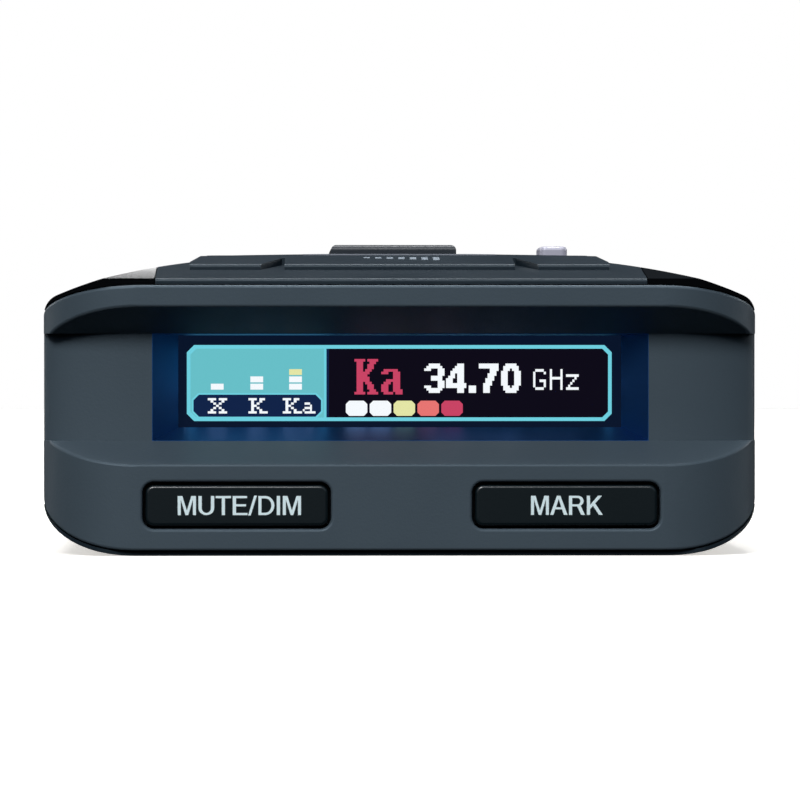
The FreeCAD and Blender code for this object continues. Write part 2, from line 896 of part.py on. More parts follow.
def deck():
    """The raised part of the top, split into three pads by two grooves."""
    y0, y1 = from_rear(deck_start), from_front(deck_end)
    low = crown_z - wall
    top = deck_z + deck_crown
    ramp_rise = (crown_z - lip_z) / (ramp_end_y - from_rear(lip_setback))
    edge_z = crown_z - ramp_rise * (ramp_end_y - y0) + deck_rise
    side = [
        Vector(-big / 2, y0, low - 1.0),
        Vector(-big / 2, y0, edge_z),
        Vector(-big / 2, ramp_end_y, top),
        Vector(-big / 2, y1 - deck_end_slope, top),
        Vector(-big / 2, y1, crown_z),
        Vector(-big / 2, y1, low - 1.0),
    ]
    half = deck_half_rear
    end = [
        Vector(half - deck_bevel, -big / 2, deck_z),
        Vector(half, -big / 2, crown_z - 0.1),
        Vector(half, -big / 2, low - 1.0),
        Vector(-half, -big / 2, low - 1.0),
        Vector(-half, -big / 2, crown_z - 0.1),
        Vector(deck_bevel - half, -big / 2, deck_z),
    ]
    outline = [line(a, b) for a, b in zip(end, end[1:])]
    outline.append(arc(end[-1], Vector(0, -big / 2, top), end[0]))
    pads = prism(polygon(side), Vector(big, 0, 0)).common(prism(outline, Vector(0, big, 0)))
    y2 = y0 + groove_length
    slope = [(e - g) / groove_length for g, e in zip(groove_start, groove_end)]
    for s in (-1, 1):
        points = [
            Vector(s * (groove_start[0] - slope[0]), y0 - 1, low),
            Vector(s * groove_end[0], y2, low),
            Vector(s * groove_end[1], y2, low),
            Vector(s * (groove_start[1] - slope[1]), y0 - 1, low),
        ]
        pads = pads.cut(prism(polygon(points), Vector(0, 0, 10)))

    def near_edge(edge):
        return lies_on(edge, 1, y0) and lies_on(edge, 2, edge_z)

    return rounded_edges(pads, deck_edge_round, near_edge)


def top_key_places():
    """Node name -> (side, y)."""
    return {
        "menu_key": (-1, near_key),
        "power_key": (-1, far_key),
        "volume_down_key": (1, near_key),
        "volume_up_key": (1, far_key),
    }


def top_key_tablet(side, y, z0, z1, grow):
    width, length = top_key_width + 2 * grow, top_key_length + 2 * grow
    return flat_tablet(side * top_key_x, y, z0, z1, width, length, top_key_round + grow)


def release_tablet(z0, z1, grow):
    width, length = release_width + 2 * grow, release_length + 2 * grow
    return flat_tablet(release_x, release_cy, z0, z1, width, length, release_round + grow)


def shoulder_zone(side, grow):
    """The stretch of the shoulder that carries the glossy strip."""
    x0, x1 = trim_inner_x - grow, half_width + 5
    low, high = (x0, x1) if side > 0 else (-x1, -x0)
    return box(low, high, rear_y - 1, from_front(trim_end) + grow, trim_low_z - grow, crown_z + 5)


def nose_tablet(grow, y0, y1):
    mid = (nose_window_low_z + nose_window_high_z) / 2
    height = nose_window_high_z - nose_window_low_z + 2 * grow
    return upright_tablet(0, mid, y0, y1, nose_window_width + 2 * grow, height, nose_window_round + grow)


def socket_nose(y, grow):
    depth = wall + 3
    start = Vector(-half_width_at(y) - 1, y, socket_z)
    return rod(start, RIGHT, socket_nose_radius + grow, depth)


def usb_slot(grow):
    y = from_rear(usb_y)
    half, rise = usb_shell_width / 2 + grow, usb_shell_height / 2 + grow
    x0 = -half_width_at(y) - 1
    return box(x0, x0 + wall + 3, y - half, y + half, socket_z - rise, socket_z + rise)


def spring_rib():
    x0 = latch_end_x + seam + latch_spring_length + seam
    y0, y1 = release_cy - spring_rib_half, release_cy + spring_rib_half
    return box(x0, x0 + spring_rib_width, y0, y1, latch_pad_z, ceiling_z + root)


def strap_posts():
    reach = strap_length / 2 - strap_post_radius
    return [(strap_x, release_cy + s * reach) for s in (-1, 1)]


def top_cover():
    shell = casing(0).fuse(deck())
    shell = shell.cut(casing(wall)).common(box(-big, big, -big, big, split_z, big))
    shell = shell.cut(bezel_envelope(-seam, bezel_y + seam))
    shell = shell.cut(box(-big, big, -big, from_rear(scoop_depth), -1, bezel_top_z))
    solid = biggest(shell)
    inner = casing(wall / 2)
    for x, y in case_screw_places():
        boss = rod(Vector(x, y, split_z), UP, case_boss_radius, crown_z - split_z).common(inner)
        hole = rod(Vector(x, y, split_z - 1), UP, case_screw_radius + mate, case_screw_bite + 2)
        solid = solid.fuse(boss).cut(hole)
    post_z = board_top_z + mate
    for x, y in standoff_places():
        post = rod(Vector(x, y, post_z), UP, standoff_radius, ceiling_z + root - post_z)
        hole = rod(Vector(x, y, post_z - 1), UP, small_screw_radius + mate, small_screw_bite)
        solid = solid.fuse(post).cut(hole)
    for side, y in top_key_places().values():
        solid = solid.cut(top_key_tablet(side, y, ceiling_z - 1, deck_z + 1, fit))
    solid = solid.cut(release_tablet(ceiling_z - 1, deck_z + 1, fit))
    half = receiver_width / 2 + seam
    solid = solid.cut(box(-half, half, receiver_y - seam, receiver_front_y + seam, ceiling_z - 1, big))
    for x, y in strap_posts():
        post_low = latch_low_z - seam
        post = rod(Vector(x, y, post_low), UP, strap_post_radius, ceiling_z + root - post_low)
        hole = rod(Vector(x, y, post_low - 1), UP, small_screw_radius + mate, strap_screw_bite + 1)
        solid = solid.fuse(post).cut(hole)
    solid = solid.fuse(spring_rib())
    for side in (-1, 1):
        solid = solid.cut(casing(-1).cut(casing(trim_thickness + seam)).common(shoulder_zone(side, seam)))
    solid = solid.cut(nose_tablet(0, from_front(nose_length / 3), front_y + 1))
    for y in (from_rear(power_y), from_rear(audio_y)):
        solid = solid.cut(socket_nose(y, seam))
    solid = biggest(solid.cut(usb_slot(seam)).removeSplitter())
    rear_edge_y = from_rear(lip_setback)

    def crease(edge):
        return lies_on(edge, 1, rear_edge_y) and lies_on(edge, 2, lip_z)

    return rounded_edges(solid, crease_round, crease)


def bottom_cover():
    shell = casing(0).cut(casing(wall)).common(box(-big, big, -big, big, -1, split_z - seam))
    shell = shell.cut(bezel_envelope(-seam, bezel_y + seam))
    solid = biggest(shell)
    for x, y in case_screw_places():
        boss = rod(Vector(x, y, 0), UP, case_boss_radius, split_z - seam).common(casing(0))
        hole = rod(Vector(x, y, -1), UP, case_screw_radius + seam, split_z + 1)
        sink = rod(Vector(x, y, -1), UP, case_screw_head_radius + fit, case_screw_depth + 1)
        solid = solid.fuse(boss).cut(hole).cut(sink)
    for x, y in horn_ear_places():
        post = rod(Vector(x, y, wall - root), UP, horn_post_radius, horn_low_z - mate - wall + root)
        hole = rod(Vector(x, y, horn_low_z - mate - horn_screw_bite), UP, small_screw_radius + mate, 5)
        solid = solid.fuse(post).cut(hole)
    fence_foot = Vector(0, speaker_cy, wall - root)
    fence = rod(fence_foot, UP, speaker_radius + seam + speaker_fence, speaker_fence_height + root)
    fence = fence.cut(rod(Vector(0, speaker_cy, wall - 1), UP, speaker_radius + seam, 5))
    solid = solid.fuse(fence)
    for i in range(slot_count):
        x = (i - (slot_count - 1) / 2) * slot_pitch
        reach = math.sqrt(slot_reach ** 2 - x ** 2)
        round_slot = flat_tablet(x, speaker_cy, -1, wall + 1, slot_width, 2 * reach, slot_width * 0.49)
        solid = solid.cut(round_slot)
    width, length = label_width + 2 * fit, label_length + 2 * fit
    solid = solid.cut(flat_tablet(0, from_rear(label_y), -1, label_recess, width, length, label_round))
    solid = solid.cut(nose_tablet(0, from_front(nose_length / 3), front_y + 1))
    return biggest(solid.removeSplitter())


def shoulder_trim(side):
    strip = casing(0).cut(casing(trim_thickness)).common(shoulder_zone(side, 0))
    strip = strip.cut(bezel_envelope(-seam, bezel_y + seam))
    return biggest(strip)


def nose_window():
    y0 = from_front(nose_top_back + 2.7)
    depth = nose_window_inset + nose_window_thickness
    plug = casing(nose_window_inset).cut(casing(depth + 1.0)).common(nose_tablet(-seam, y0, front_y))
    flange_out = wall + mate
    flange = casing(flange_out).cut(casing(flange_out + nose_window_flange_thickness))
    flange = flange.common(nose_tablet(nose_window_flange, from_front(nose_top_back + 2.4), front_y))
    whole = plug.fuse(flange).cut(casing(flange_out + nose_window_flange_thickness))
    return biggest(whole.removeSplitter())


def bottom_label():
    z1 = label_recess - mate
    z0 = z1 - label_thickness
    return flat_tablet(0, from_rear(label_y), z0, z1, label_width, label_length, label_round)


def case_screws():
    seat = case_screw_depth
    bite = split_z - seat + case_screw_bite
    return [
        screw(Vector(x, y, seat), UP, case_screw_radius, case_screw_head_radius, case_screw_head, bite)
        for x, y in case_screw_places()
    ]


# ---------------------------------------------------------------- keys on the deck


def top_key(side, y):
    top = deck_z + top_key_proud
    cap = top_key_tablet(side, y, ceiling_z - 0.5, top, 0)
    cap = rounded_edges(cap, top_key_edge, lambda e: lies_on(e, 2, top))
    flange_z = ceiling_z - mate
    flange = top_key_tablet(side, y, flange_z - top_key_flange_thickness, flange_z, top_key_flange)
    foot = switch_top_z + plunger_proud + mate
    stem = rod(Vector(side * top_key_x, y, foot), UP, top_key_stem_radius, ceiling_z - foot)
    return cap.fuse(flange).fuse(stem).removeSplitter()


def top_switches():
    half = switch_side / 2
    solids = []
    for side, y in top_key_places().values():
        x = side * top_key_x
        body = box(x - half, x + half, y - half, y + half, board_top_z + mate, switch_top_z)
        start = Vector(x, y, switch_top_z - plunger_hole)
        solids.append(body.cut(rod(start, UP, plunger_radius + mate, plunger_hole + 1)))
    return solids


def top_plunger(side, y):
    start = Vector(side * top_key_x, y, switch_top_z - plunger_sunk)
    return rod(start, UP, plunger_radius, plunger_proud + plunger_sunk)


# ---------------------------------------------------------------- bracket receiver and latch


def bracket_receiver():
    half = receiver_width / 2
    low = slot_floor_z - receiver_floor
    hood = box(-half, half, receiver_y, hood_end_y, low, receiver_top_z)
    hood = rounded_edges(hood, receiver_round, lambda e: lies_on(e, 2, receiver_top_z))
    walls = box(-half, half, hood_end_y - 1, receiver_front_y, low, deck_z)
    flange_z = ceiling_z - mate
    flange = box(
        -receiver_flange_half, receiver_flange_half,
        receiver_y - receiver_flange, receiver_front_y + receiver_flange,
        flange_z - receiver_flange_thickness, flange_z,
    )
    solid = hood.fuse(walls).fuse(flange)
    slot = box(
        -slot_half, slot_half, receiver_y + receiver_wall, receiver_front_y - receiver_wall,
        slot_floor_z, slot_top_z,
    )
    solid = solid.cut(slot)
    gap = latch_width / 2 + fit
    window = box(slot_half - 1, half, release_cy - gap, release_cy + gap, slot_floor_z, latch_high_z + fit)
    notch_end = receiver_flange_half + 1
    notch = box(half, notch_end, release_cy - gap, release_cy + gap, slot_floor_z - 1, flange_z + 1)
    return solid.cut(window).cut(notch).removeSplitter()


def wedge_face(z, offset=0.0):
    """X of the sloping face of the release button's wedge at one height."""
    return release_x + release_width / 2 - (release_skirt_z - seam - z) + offset


def release_button():
    cap = release_tablet(release_skirt_z, release_top_z, 0)
    cap = rounded_edges(cap, release_edge, lambda e: lies_on(e, 2, release_top_z))
    x0, x1 = release_x - release_width / 2, release_x + release_width / 2
    top = release_skirt_z - seam
    low = max(latch_low_z - seam, top - release_width + wedge_tip)
    wedge = prism(
        polygon([
            Vector(x0, release_cy - wedge_length / 2, low),
            Vector(wedge_face(low), release_cy - wedge_length / 2, low),
            Vector(wedge_face(top), release_cy - wedge_length / 2, top),
            Vector(x1, release_cy - wedge_length / 2, release_skirt_z + 0.5),
            Vector(x0, release_cy - wedge_length / 2, release_skirt_z + 0.5),
        ]),
        Vector(0, wedge_length, 0),
    )
    solid = cap.fuse(wedge)
    for s in (-1, 1):
        outer = release_cy + s * release_length / 2
        inner = outer - s * release_leg
        hook = outer + s * release_hook
        y0, y1 = min(outer, inner), max(outer, inner)
        leg = box(x0 + release_round, x1 - release_round, y0, y1, release_hook_low_z, release_skirt_z + 0.5)
        y0, y1 = min(outer, hook), max(outer, hook)
        catch = box(x0 + release_round, x1 - release_round, y0, y1, release_hook_low_z, ceiling_z - mate)
        solid = solid.fuse(leg).fuse(catch)
    return solid.removeSplitter()


def latch():
    half = latch_width / 2
    y0, y1 = release_cy - half, release_cy + half
    tip = slot_half - latch_tooth_proud
    bar = prism(
        polygon([
            Vector(tip, y0, latch_low_z),
            Vector(latch_end_x, y0, latch_low_z),
            Vector(latch_end_x, y1, latch_low_z),
            Vector(tip + latch_tooth_proud, y1, latch_low_z),
            Vector(tip, y1 - latch_tooth_proud, latch_low_z),
        ]),
        Vector(0, 0, latch_thickness),
    )
    pad = box(latch_end_x - 1, latch_end_x, y0, y1, latch_pad_z, latch_high_z)
    opening_x = release_x - release_width / 2 - fit - release_travel
    reach = half - latch_rail
    low, high = latch_low_z - 1, latch_high_z + 1
    opening = prism(
        polygon([
            Vector(opening_x, release_cy - reach, low),
            Vector(wedge_face(low, seam), release_cy - reach, low),
            Vector(wedge_face(high, seam), release_cy - reach, high),
            Vector(opening_x, release_cy - reach, high),
        ]),
        Vector(0, 2 * reach, 0),
    )
    return bar.fuse(pad).cut(opening).removeSplitter()


def latch_spring():
    length = latch_spring_length
    pitch = (length - latch_spring_wire - mate) / latch_spring_turns
    helix = Part.makeHelix(pitch, pitch * latch_spring_turns, latch_spring_radius)
    profile = Part.Wire(Part.makeCircle(latch_spring_wire / 2, Vector(latch_spring_radius, 0, 0), FORWARD))
    coil = Part.Wire(helix.Edges).makePipeShell([profile], True, True)
    coil.rotate(Vector(0, 0, 0), FORWARD, 90)
    x = latch_end_x + seam + latch_spring_wire / 2
    coil.translate(Vector(x, release_cy, latch_spring_z))
    return coil


def latch_strap():
    z0 = latch_low_z - seam - mate - strap_thickness
    strap = box(
        strap_x - strap_width / 2, strap_x + strap_width / 2,
        release_cy - strap_length / 2, release_cy + strap_length / 2,
        z0, z0 + strap_thickness,
    )
    for x, y in strap_posts():
        strap = strap.cut(rod(Vector(x, y, z0 - 1), UP, small_screw_radius + seam, strap_thickness + 2))
    return strap


def strap_screws():
    seat = latch_low_z - seam - 2 * mate - strap_thickness
    return [small_screw(Vector(x, y, seat), UP, strap_screw_bite) for x, y in strap_posts()]


# ---------------------------------------------------------------- main board


def main_board():
    half = main_board_width / 2
    y0, y1 = from_rear(main_board_rear), from_front(main_board_front)
    board = box(-half, half, y0, y1, main_board_z, board_top_z)
    for x, y in standoff_places():
        start = Vector(x, y, main_board_z - 1)
        board = board.cut(rod(start, UP, small_screw_radius + seam, board_thickness + 2))
    return board


def main_board_screws():
    seat = main_board_z - mate
    bite = board_thickness + small_screw_bite - 1.5
    return [small_screw(Vector(x, y, seat), UP, bite) for x, y in standoff_places()]


def rf_shield():
    y0 = from_rear(can_rear)
    z0 = board_top_z + mate
    half = can_width / 2
    can = box(-half, half, y0, y0 + can_length, z0, z0 + can_height)
    inside = box(
        can_wall - half, half - can_wall,
        y0 + can_wall, y0 + can_length - can_wall,
        z0 - 1, z0 + can_height - can_wall,
    )
    return rounded_edges(can, can_round, lambda e: lies_on(e, 2, z0 + can_height)).cut(inside)


def control_chips():
    z0 = board_top_z + mate
    chips = []
    for x, back, width, length, height in chip_places:
        y = from_rear(back)
        chips.append(box(x - width / 2, x + width / 2, y - length / 2, y + length / 2, z0, z0 + height))
    return chips


def capacitors():
    z0 = board_top_z + mate
    cans = []
    for x, back in capacitor_places:
        can = rod(Vector(x, from_rear(back), z0), UP, capacitor_radius, capacitor_height)
        cans.append(rounded_edges(can, capacitor_round, lambda e: lies_on(e, 2, z0 + capacitor_height)))
    return cans


def gps_antenna():
    y = from_front(gps_back)
    half = gps_side / 2
    z0 = board_top_z + mate
    base = box(-half, half, y - half, y + half, z0, z0 + gps_ground)
    patch = box(1 - half, half - 1, y - half + 1, y + half - 1, z0, z0 + gps_ground + gps_height)
    return base.fuse(patch).removeSplitter()


def display_ribbon():
    half = ribbon_width / 2
    y0 = board_back_y + mate
    z0 = board_top_z + mate
    leg = box(-half, half, y0, y0 + ribbon_thickness, z0, z0 + ribbon_rise)
    foot = box(-half, half, y0, from_rear(main_board_rear) + ribbon_foot, z0, z0 + ribbon_thickness)
    return leg.fuse(foot).removeSplitter()


# ---------------------------------------------------------------- antenna horn


def horn_lid_screw_places():
    return [(s * x, horn_rear_y + back) for s in (-1, 1) for x, back in horn_lid_screws]


def horn_body():
    half = horn_width / 2
    top = horn_high_z - horn_lid - mate
    body = box(-half, half, horn_rear_y, horn_front_y, horn_low_z, top)
    for x, y in horn_ear_places():
        ear = rod(Vector(x, y, horn_low_z), UP, horn_ear_radius, horn_ear_thickness)
        inner = math.copysign(half - 1, x)
        x0, x1 = min(x, inner), max(x, inner)
        ear_top = horn_low_z + horn_ear_thickness
        bridge = box(x0, x1, y - horn_ear_radius, y + horn_ear_radius, horn_low_z, ear_top)
        start = Vector(x, y, horn_low_z - 1)
        hole = rod(start, UP, small_screw_radius + seam, horn_ear_thickness + 2)
        body = body.fuse(ear).fuse(bridge).cut(hole)
    guide_start = horn_rear_y + horn_wall
    throat = guide_start + guide_length
    guide_half, guide_low = guide_width / 2, top - guide_height
    body = body.cut(box(-guide_half, guide_half, guide_start, throat + 0.01, guide_low, top + 1))

    def opening(y, w, low):
        corners = [(-w, low), (w, low), (w, top + 1), (-w, top + 1)]
        return Part.Wire(polygon([Vector(x, y, z) for x, z in corners]))

    narrow = opening(throat, guide_half, guide_low)
    mouth = opening(horn_front_y, half - horn_wall, horn_low_z + horn_wall)
    body = body.cut(Part.makeLoft([narrow, mouth], True, True))
    for x, y in horn_lid_screw_places():
        start = Vector(x, y, top - small_screw_bite)
        body = body.cut(rod(start, UP, small_screw_radius + mate, small_screw_bite + 1))
    return biggest(body.removeSplitter())


def horn_cover():
    half = horn_width / 2
    lid = box(-half, half, horn_rear_y, horn_front_y, horn_high_z - horn_lid, horn_high_z)
    for x, y in horn_lid_screw_places():
        lid = lid.cut(rod(Vector(x, y, horn_low_z), UP, small_screw_radius + seam, horn_height + 1))
    probe = Vector(0, horn_rear_y + probe_inset, horn_low_z)
    return lid.cut(rod(probe, UP, probe_hole_radius, horn_height + 1))


def horn_screws():
    lid_seat = horn_high_z + mate
    ear_seat = horn_low_z + horn_ear_thickness + mate
    lid = [small_screw(Vector(x, y, lid_seat), DOWN) for x, y in horn_lid_screw_places()]
    ears = [
        small_screw(Vector(x, y, ear_seat), DOWN, horn_ear_thickness + horn_screw_bite - 0.5)
        for x, y in horn_ear_places()
    ]
    return lid + ears


def pickup_probe():
    start = Vector(0, horn_rear_y + probe_inset, probe_low_z)
    return rod(start, UP, probe_radius, main_board_z - mate - probe_low_z)


# ---------------------------------------------------------------- laser receiver


def laser_board():
    y = laser_back_y()
    half = laser_board_width / 2
    z0 = horn_high_z + mate
    return box(-half, half, y - laser_board_thickness, y, z0, z0 + laser_board_height)


def laser_back_y():
    """Front face of the laser board."""
    return from_front(laser_lens_back) - lens_holder_length - mate


def laser_detector():
    half = detector_side / 2
    y = laser_back_y() + mate
    return box(-half, half, y, y + detector_thickness, laser_z - half * 0.7, laser_z + half * 0.7)


def lens_holder():
    y = laser_back_y() + mate
    outer = laser_lens_radius + mate + lens_holder_wall
    tube = rod(Vector(0, y, laser_z), FORWARD, outer, lens_holder_length)
    bore = laser_lens_radius + mate
    seat_y = from_front(laser_lens_back) - laser_lens_edge
    seat = rod(Vector(0, seat_y, laser_z), FORWARD, bore, lens_holder_length)
    back = Vector(0, y - 1, laser_z)
    cavity = rod(back, FORWARD, laser_lens_radius - lens_shelf, lens_holder_length + 2)
    pocket = rod(back, FORWARD, bore, detector_thickness + 1 + lens_pocket_spare)
    return tube.cut(seat).cut(cavity).cut(pocket)


def laser_lens():
    y = from_front(laser_lens_back)
    back = y - laser_lens_edge + mate
    bulge = laser_lens_bulge
    r = laser_lens_radius
    ball = (r ** 2 + bulge ** 2) / (2 * bulge)
    edge = rod(Vector(0, back, laser_z), FORWARD, r, y - back)
    dome = Part.makeSphere(ball, Vector(0, y + bulge - ball, laser_z))
    dome = dome.common(rod(Vector(0, y - 0.01, laser_z), FORWARD, r, bulge + 1))
    return edge.fuse(dome).removeSplitter()


# ---------------------------------------------------------------- speaker


def speaker_felt():
    foot = Vector(0, speaker_cy, wall + mate)
    ring = rod(foot, UP, speaker_radius - mate, speaker_felt_thickness)
    below = foot - Vector(0, 0, 1)
    return ring.cut(rod(below, UP, speaker_radius - speaker_felt_width, speaker_felt_thickness + 2))


def speaker_basket():
    centre = Vector(0, speaker_cy, speaker_z)
    r = speaker_radius
    rim = rod(centre, UP, r, speaker_rim)
    neck = magnet_radius + basket_wall
    rise = speaker_height - speaker_rim
    cone = Part.makeCone(r - basket_wall, neck, rise, centre + Vector(0, 0, speaker_rim), UP)
    mouth = r - basket_lip
    hollow = Part.makeCone(mouth, neck - basket_lip, speaker_height - basket_wall, centre, UP)
    return rim.fuse(cone).cut(hollow).cut(rod(centre, UP, mouth, basket_seat))


def speaker_cone():
    foot = Vector(0, speaker_cy, speaker_z + basket_lip - basket_wall + 0.1)
    r = speaker_radius - cone_edge
    outer = Part.makeCone(r, cone_throat, cone_height, foot, UP)
    below = foot - Vector(0, 0, 0.75 * cone_wall)
    inner = Part.makeCone(r - cone_wall, cone_throat - cone_wall, cone_height, below, UP)
    return biggest(outer.cut(inner))


def speaker_magnet():
    z0 = speaker_z + speaker_height + mate
    magnet = rod(Vector(0, speaker_cy, z0), UP, magnet_radius, magnet_height)
    return rounded_edges(magnet, magnet_round, lambda e: lies_on(e, 2, z0 + magnet_height))


def speaker_leads():
    """Two wires from the basket's rim up to the main board."""
    wires = []
    for s in (-1, 1):
        start = Vector(s * lead_x, speaker_cy + speaker_radius + lead_back, wall + lead_lift)
        wire = rod(start, UP, lead_radius, main_board_z - mate - start.z)
        bead = Vector(start.x, start.y, main_board_z - lead_bead_drop)
        wires.append(wire.fuse(Part.makeSphere(lead_bead_radius, bead)))
    return wires


# ---------------------------------------------------------------- sockets


def round_socket(y, bore, pin=0.0):
    tip_x = -half_width_at(y) + socket_set_back
    inner_wall = -half_width_at(y + socket_width / 2) + wall + mate + 0.1
    half = socket_side / 2
    body = box(
        inner_wall, inner_wall + socket_body, y - socket_width / 2, y + socket_width / 2,
        socket_z - half, socket_z + half,
    )
    nose = rod(Vector(tip_x, y, socket_z), RIGHT, socket_nose_radius, inner_wall - tip_x + 1)
    start = Vector(tip_x - 1, y, socket_z)
    solid = body.fuse(nose).cut(rod(start, RIGHT, bore, socket_depth + 1))
    if pin:
        solid = solid.fuse(rod(Vector(tip_x + 1, y, socket_z), RIGHT, pin, socket_depth))
    return solid.removeSplitter()


def usb_port():
    y = from_rear(usb_y)
    tip_x = -half_width_at(y) + socket_set_back
    half, rise = usb_shell_width / 2, usb_shell_height / 2
    shell = box(tip_x, tip_x + usb_depth, y - half, y + half, socket_z - rise, socket_z + rise)
    half_in, rise_in = half - usb_shell_wall, rise - usb_shell_wall
    inside = box(
        tip_x - 1, tip_x + usb_depth - usb_back,
        y - half_in, y + half_in, socket_z - rise_in, socket_z + rise_in,
    )
    half, rise = usb_tongue_width / 2, usb_tongue_height / 2
    tongue = box(
        tip_x + usb_tongue_back, tip_x + usb_depth,
        y - half, y + half, socket_z - rise, socket_z + rise,
    )
    return shell.cut(inside).fuse(tongue).removeSplitter()


# ---------------------------------------------------------------- all of it


def main():
    os.makedirs("parts", exist_ok=True)
    save("rear_bezel", rear_bezel())
    save("top_cover", top_cover())
    save("bottom_cover", bottom_cover())
    save("left_shoulder_trim", shoulder_trim(-1))
    save("right_shoulder_trim", shoulder_trim(1))
    save("nose_window", nose_window())
    save("case_screws", *case_screws())
    save("bottom_label", bottom_label())

    save("display_window", display_window())
    save("window_gasket", window_gasket())
    save("display_panel", display_panel())
    save("display_tray", display_tray())
    save("display_board", display_board())
    save("display_board_screws", *display_board_screws())
    save("display_ribbon", display_ribbon())
    save("mute_key", rear_key(-1))
    save("mark_key", rear_key(1))
    save("rear_switches", *rear_switches())
    save("mute_plunger", rear_plunger(-1))
    save("mark_plunger", rear_plunger(1))

    for name, (side, y) in top_key_places().items():
        save(name, top_key(side, y))
        save(name.replace("_key", "_plunger"), top_plunger(side, y))
    save("top_switches", *top_switches())

    save("bracket_receiver", bracket_receiver())
    save("release_button", release_button())
    save("latch", latch())
    save("latch_spring", latch_spring())
    save("latch_strap", latch_strap())
    save("strap_screws", *strap_screws())

    save("main_board", main_board())
    save("main_board_screws", *main_board_screws())
    save("rf_shield", rf_shield())
    save("control_chips", *control_chips())
    save("capacitors", *capacitors())
    save("gps_antenna", gps_antenna())
    save("horn_body", horn_body())
    save("horn_cover", horn_cover())
    save("horn_screws", *horn_screws())
    save("pickup_probe", pickup_probe())
    save("laser_board", laser_board())
    save("laser_detector", laser_detector())
    save("lens_holder", lens_holder())
    save("laser_lens", laser_lens())

    save("speaker_felt", speaker_felt())
    save("speaker_basket", speaker_basket())
    save("speaker_cone", speaker_cone())
    save("speaker_magnet", speaker_magnet())
    save("speaker_leads", *speaker_leads())

    save("power_jack", round_socket(from_rear(power_y), power_bore_radius, power_pin_radius))
    save("audio_jack", round_socket(from_rear(audio_y), audio_bore_radius))
    save("usb_port", usb_port())


main()
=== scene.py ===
import bmesh
import bpy
import json
import math
from mathutils import Matrix, Vector


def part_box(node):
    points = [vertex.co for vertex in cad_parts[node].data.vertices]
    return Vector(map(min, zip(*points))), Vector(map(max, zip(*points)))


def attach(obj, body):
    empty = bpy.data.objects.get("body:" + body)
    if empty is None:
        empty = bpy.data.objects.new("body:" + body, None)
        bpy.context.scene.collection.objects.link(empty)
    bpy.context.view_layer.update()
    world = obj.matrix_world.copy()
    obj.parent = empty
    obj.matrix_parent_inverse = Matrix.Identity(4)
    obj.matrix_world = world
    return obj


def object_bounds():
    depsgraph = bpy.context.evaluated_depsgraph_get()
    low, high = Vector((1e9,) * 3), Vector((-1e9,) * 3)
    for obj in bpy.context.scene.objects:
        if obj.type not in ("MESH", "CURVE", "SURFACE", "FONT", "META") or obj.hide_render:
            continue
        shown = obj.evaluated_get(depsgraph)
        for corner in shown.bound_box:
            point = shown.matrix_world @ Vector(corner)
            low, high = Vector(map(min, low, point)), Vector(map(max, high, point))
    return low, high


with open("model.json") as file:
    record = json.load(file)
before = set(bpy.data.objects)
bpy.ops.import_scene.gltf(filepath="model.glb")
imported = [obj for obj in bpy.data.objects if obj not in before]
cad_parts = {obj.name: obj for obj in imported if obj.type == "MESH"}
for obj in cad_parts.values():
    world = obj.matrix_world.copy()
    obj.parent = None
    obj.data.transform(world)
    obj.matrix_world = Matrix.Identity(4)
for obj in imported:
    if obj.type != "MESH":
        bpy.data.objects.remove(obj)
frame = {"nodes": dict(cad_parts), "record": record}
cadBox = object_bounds()
print("frame loaded")

mm = 0.001
nodes = frame["nodes"]


def linear(hexColour, alpha=1.0):
    # sRGB hex to the linear values that shaders take
    channels = [int(hexColour[i:i + 2], 16) / 255 for i in (1, 3, 5)]
    shades = [c / 12.92 if c <= 0.04045 else ((c + 0.055) / 1.055) ** 2.4 for c in channels]
    return (*shades, alpha)


def addNode(tree, kind, settings=None, links=None):
    # settings are node properties or input values, links are input name: output socket
    node = tree.nodes.new(kind)
    for key, value in (settings or {}).items():
        if key in node.inputs:
            node.inputs[key].default_value = value
        else:
            setattr(node, key, value)
    for key, socket in (links or {}).items():
        tree.links.new(socket, node.inputs[key])
    return node


def startMaterial(name, settings):
    material = bpy.data.materials.new(name)
    material.use_nodes = True
    tree = material.node_tree
    tree.nodes.clear()
    shader = addNode(tree, "ShaderNodeBsdfPrincipled", settings)
    addNode(tree, "ShaderNodeOutputMaterial", None, {"Surface": shader.outputs["BSDF"]})
    material.diffuse_color = settings.get("Base Color", (0.5, 0.5, 0.5, 1))
    return material, tree, shader


def addGrain(tree, shader, spacingMm, height, roughnessLow=None, roughnessHigh=None):
    # a moulded or cast grain: bumps of that spacing, and roughness that wanders with them
    place = addNode(tree, "ShaderNodeTexCoord")
    noise = addNode(
        tree, "ShaderNodeTexNoise",
        {"Scale": 1 / (spacingMm * mm), "Detail": 3.0, "Roughness": 0.6},
        {"Vector": place.outputs["Object"]},
    )
    bump = addNode(
        tree, "ShaderNodeBump",
        {"Strength": height, "Distance": spacingMm * mm * 0.3},
        {"Height": noise.outputs["Fac"]},
    )
    tree.links.new(bump.outputs["Normal"], shader.inputs["Normal"])
    if roughnessLow is not None:
        wide = addNode(
            tree, "ShaderNodeTexNoise",
            {"Scale": 1 / (spacingMm * mm * 30), "Detail": 4.0},
            {"Vector": place.outputs["Object"]},
        )
        mapped = addNode(
            tree, "ShaderNodeMapRange",
            {"To Min": roughnessLow, "To Max": roughnessHigh, "From Min": 0.3, "From Max": 0.7},
            {"Value": wide.outputs["Fac"]},
        )
        tree.links.new(mapped.outputs["Result"], shader.inputs["Roughness"])


# ABS, spark-eroded mould: a fine grain that spreads every highlight wide
bezelPlastic = {
    "colour": "#414c54", "roughness": 0.5, "grainMm": 0.28, "height": 0.16,
    "sheen": "#b8ccda",
}


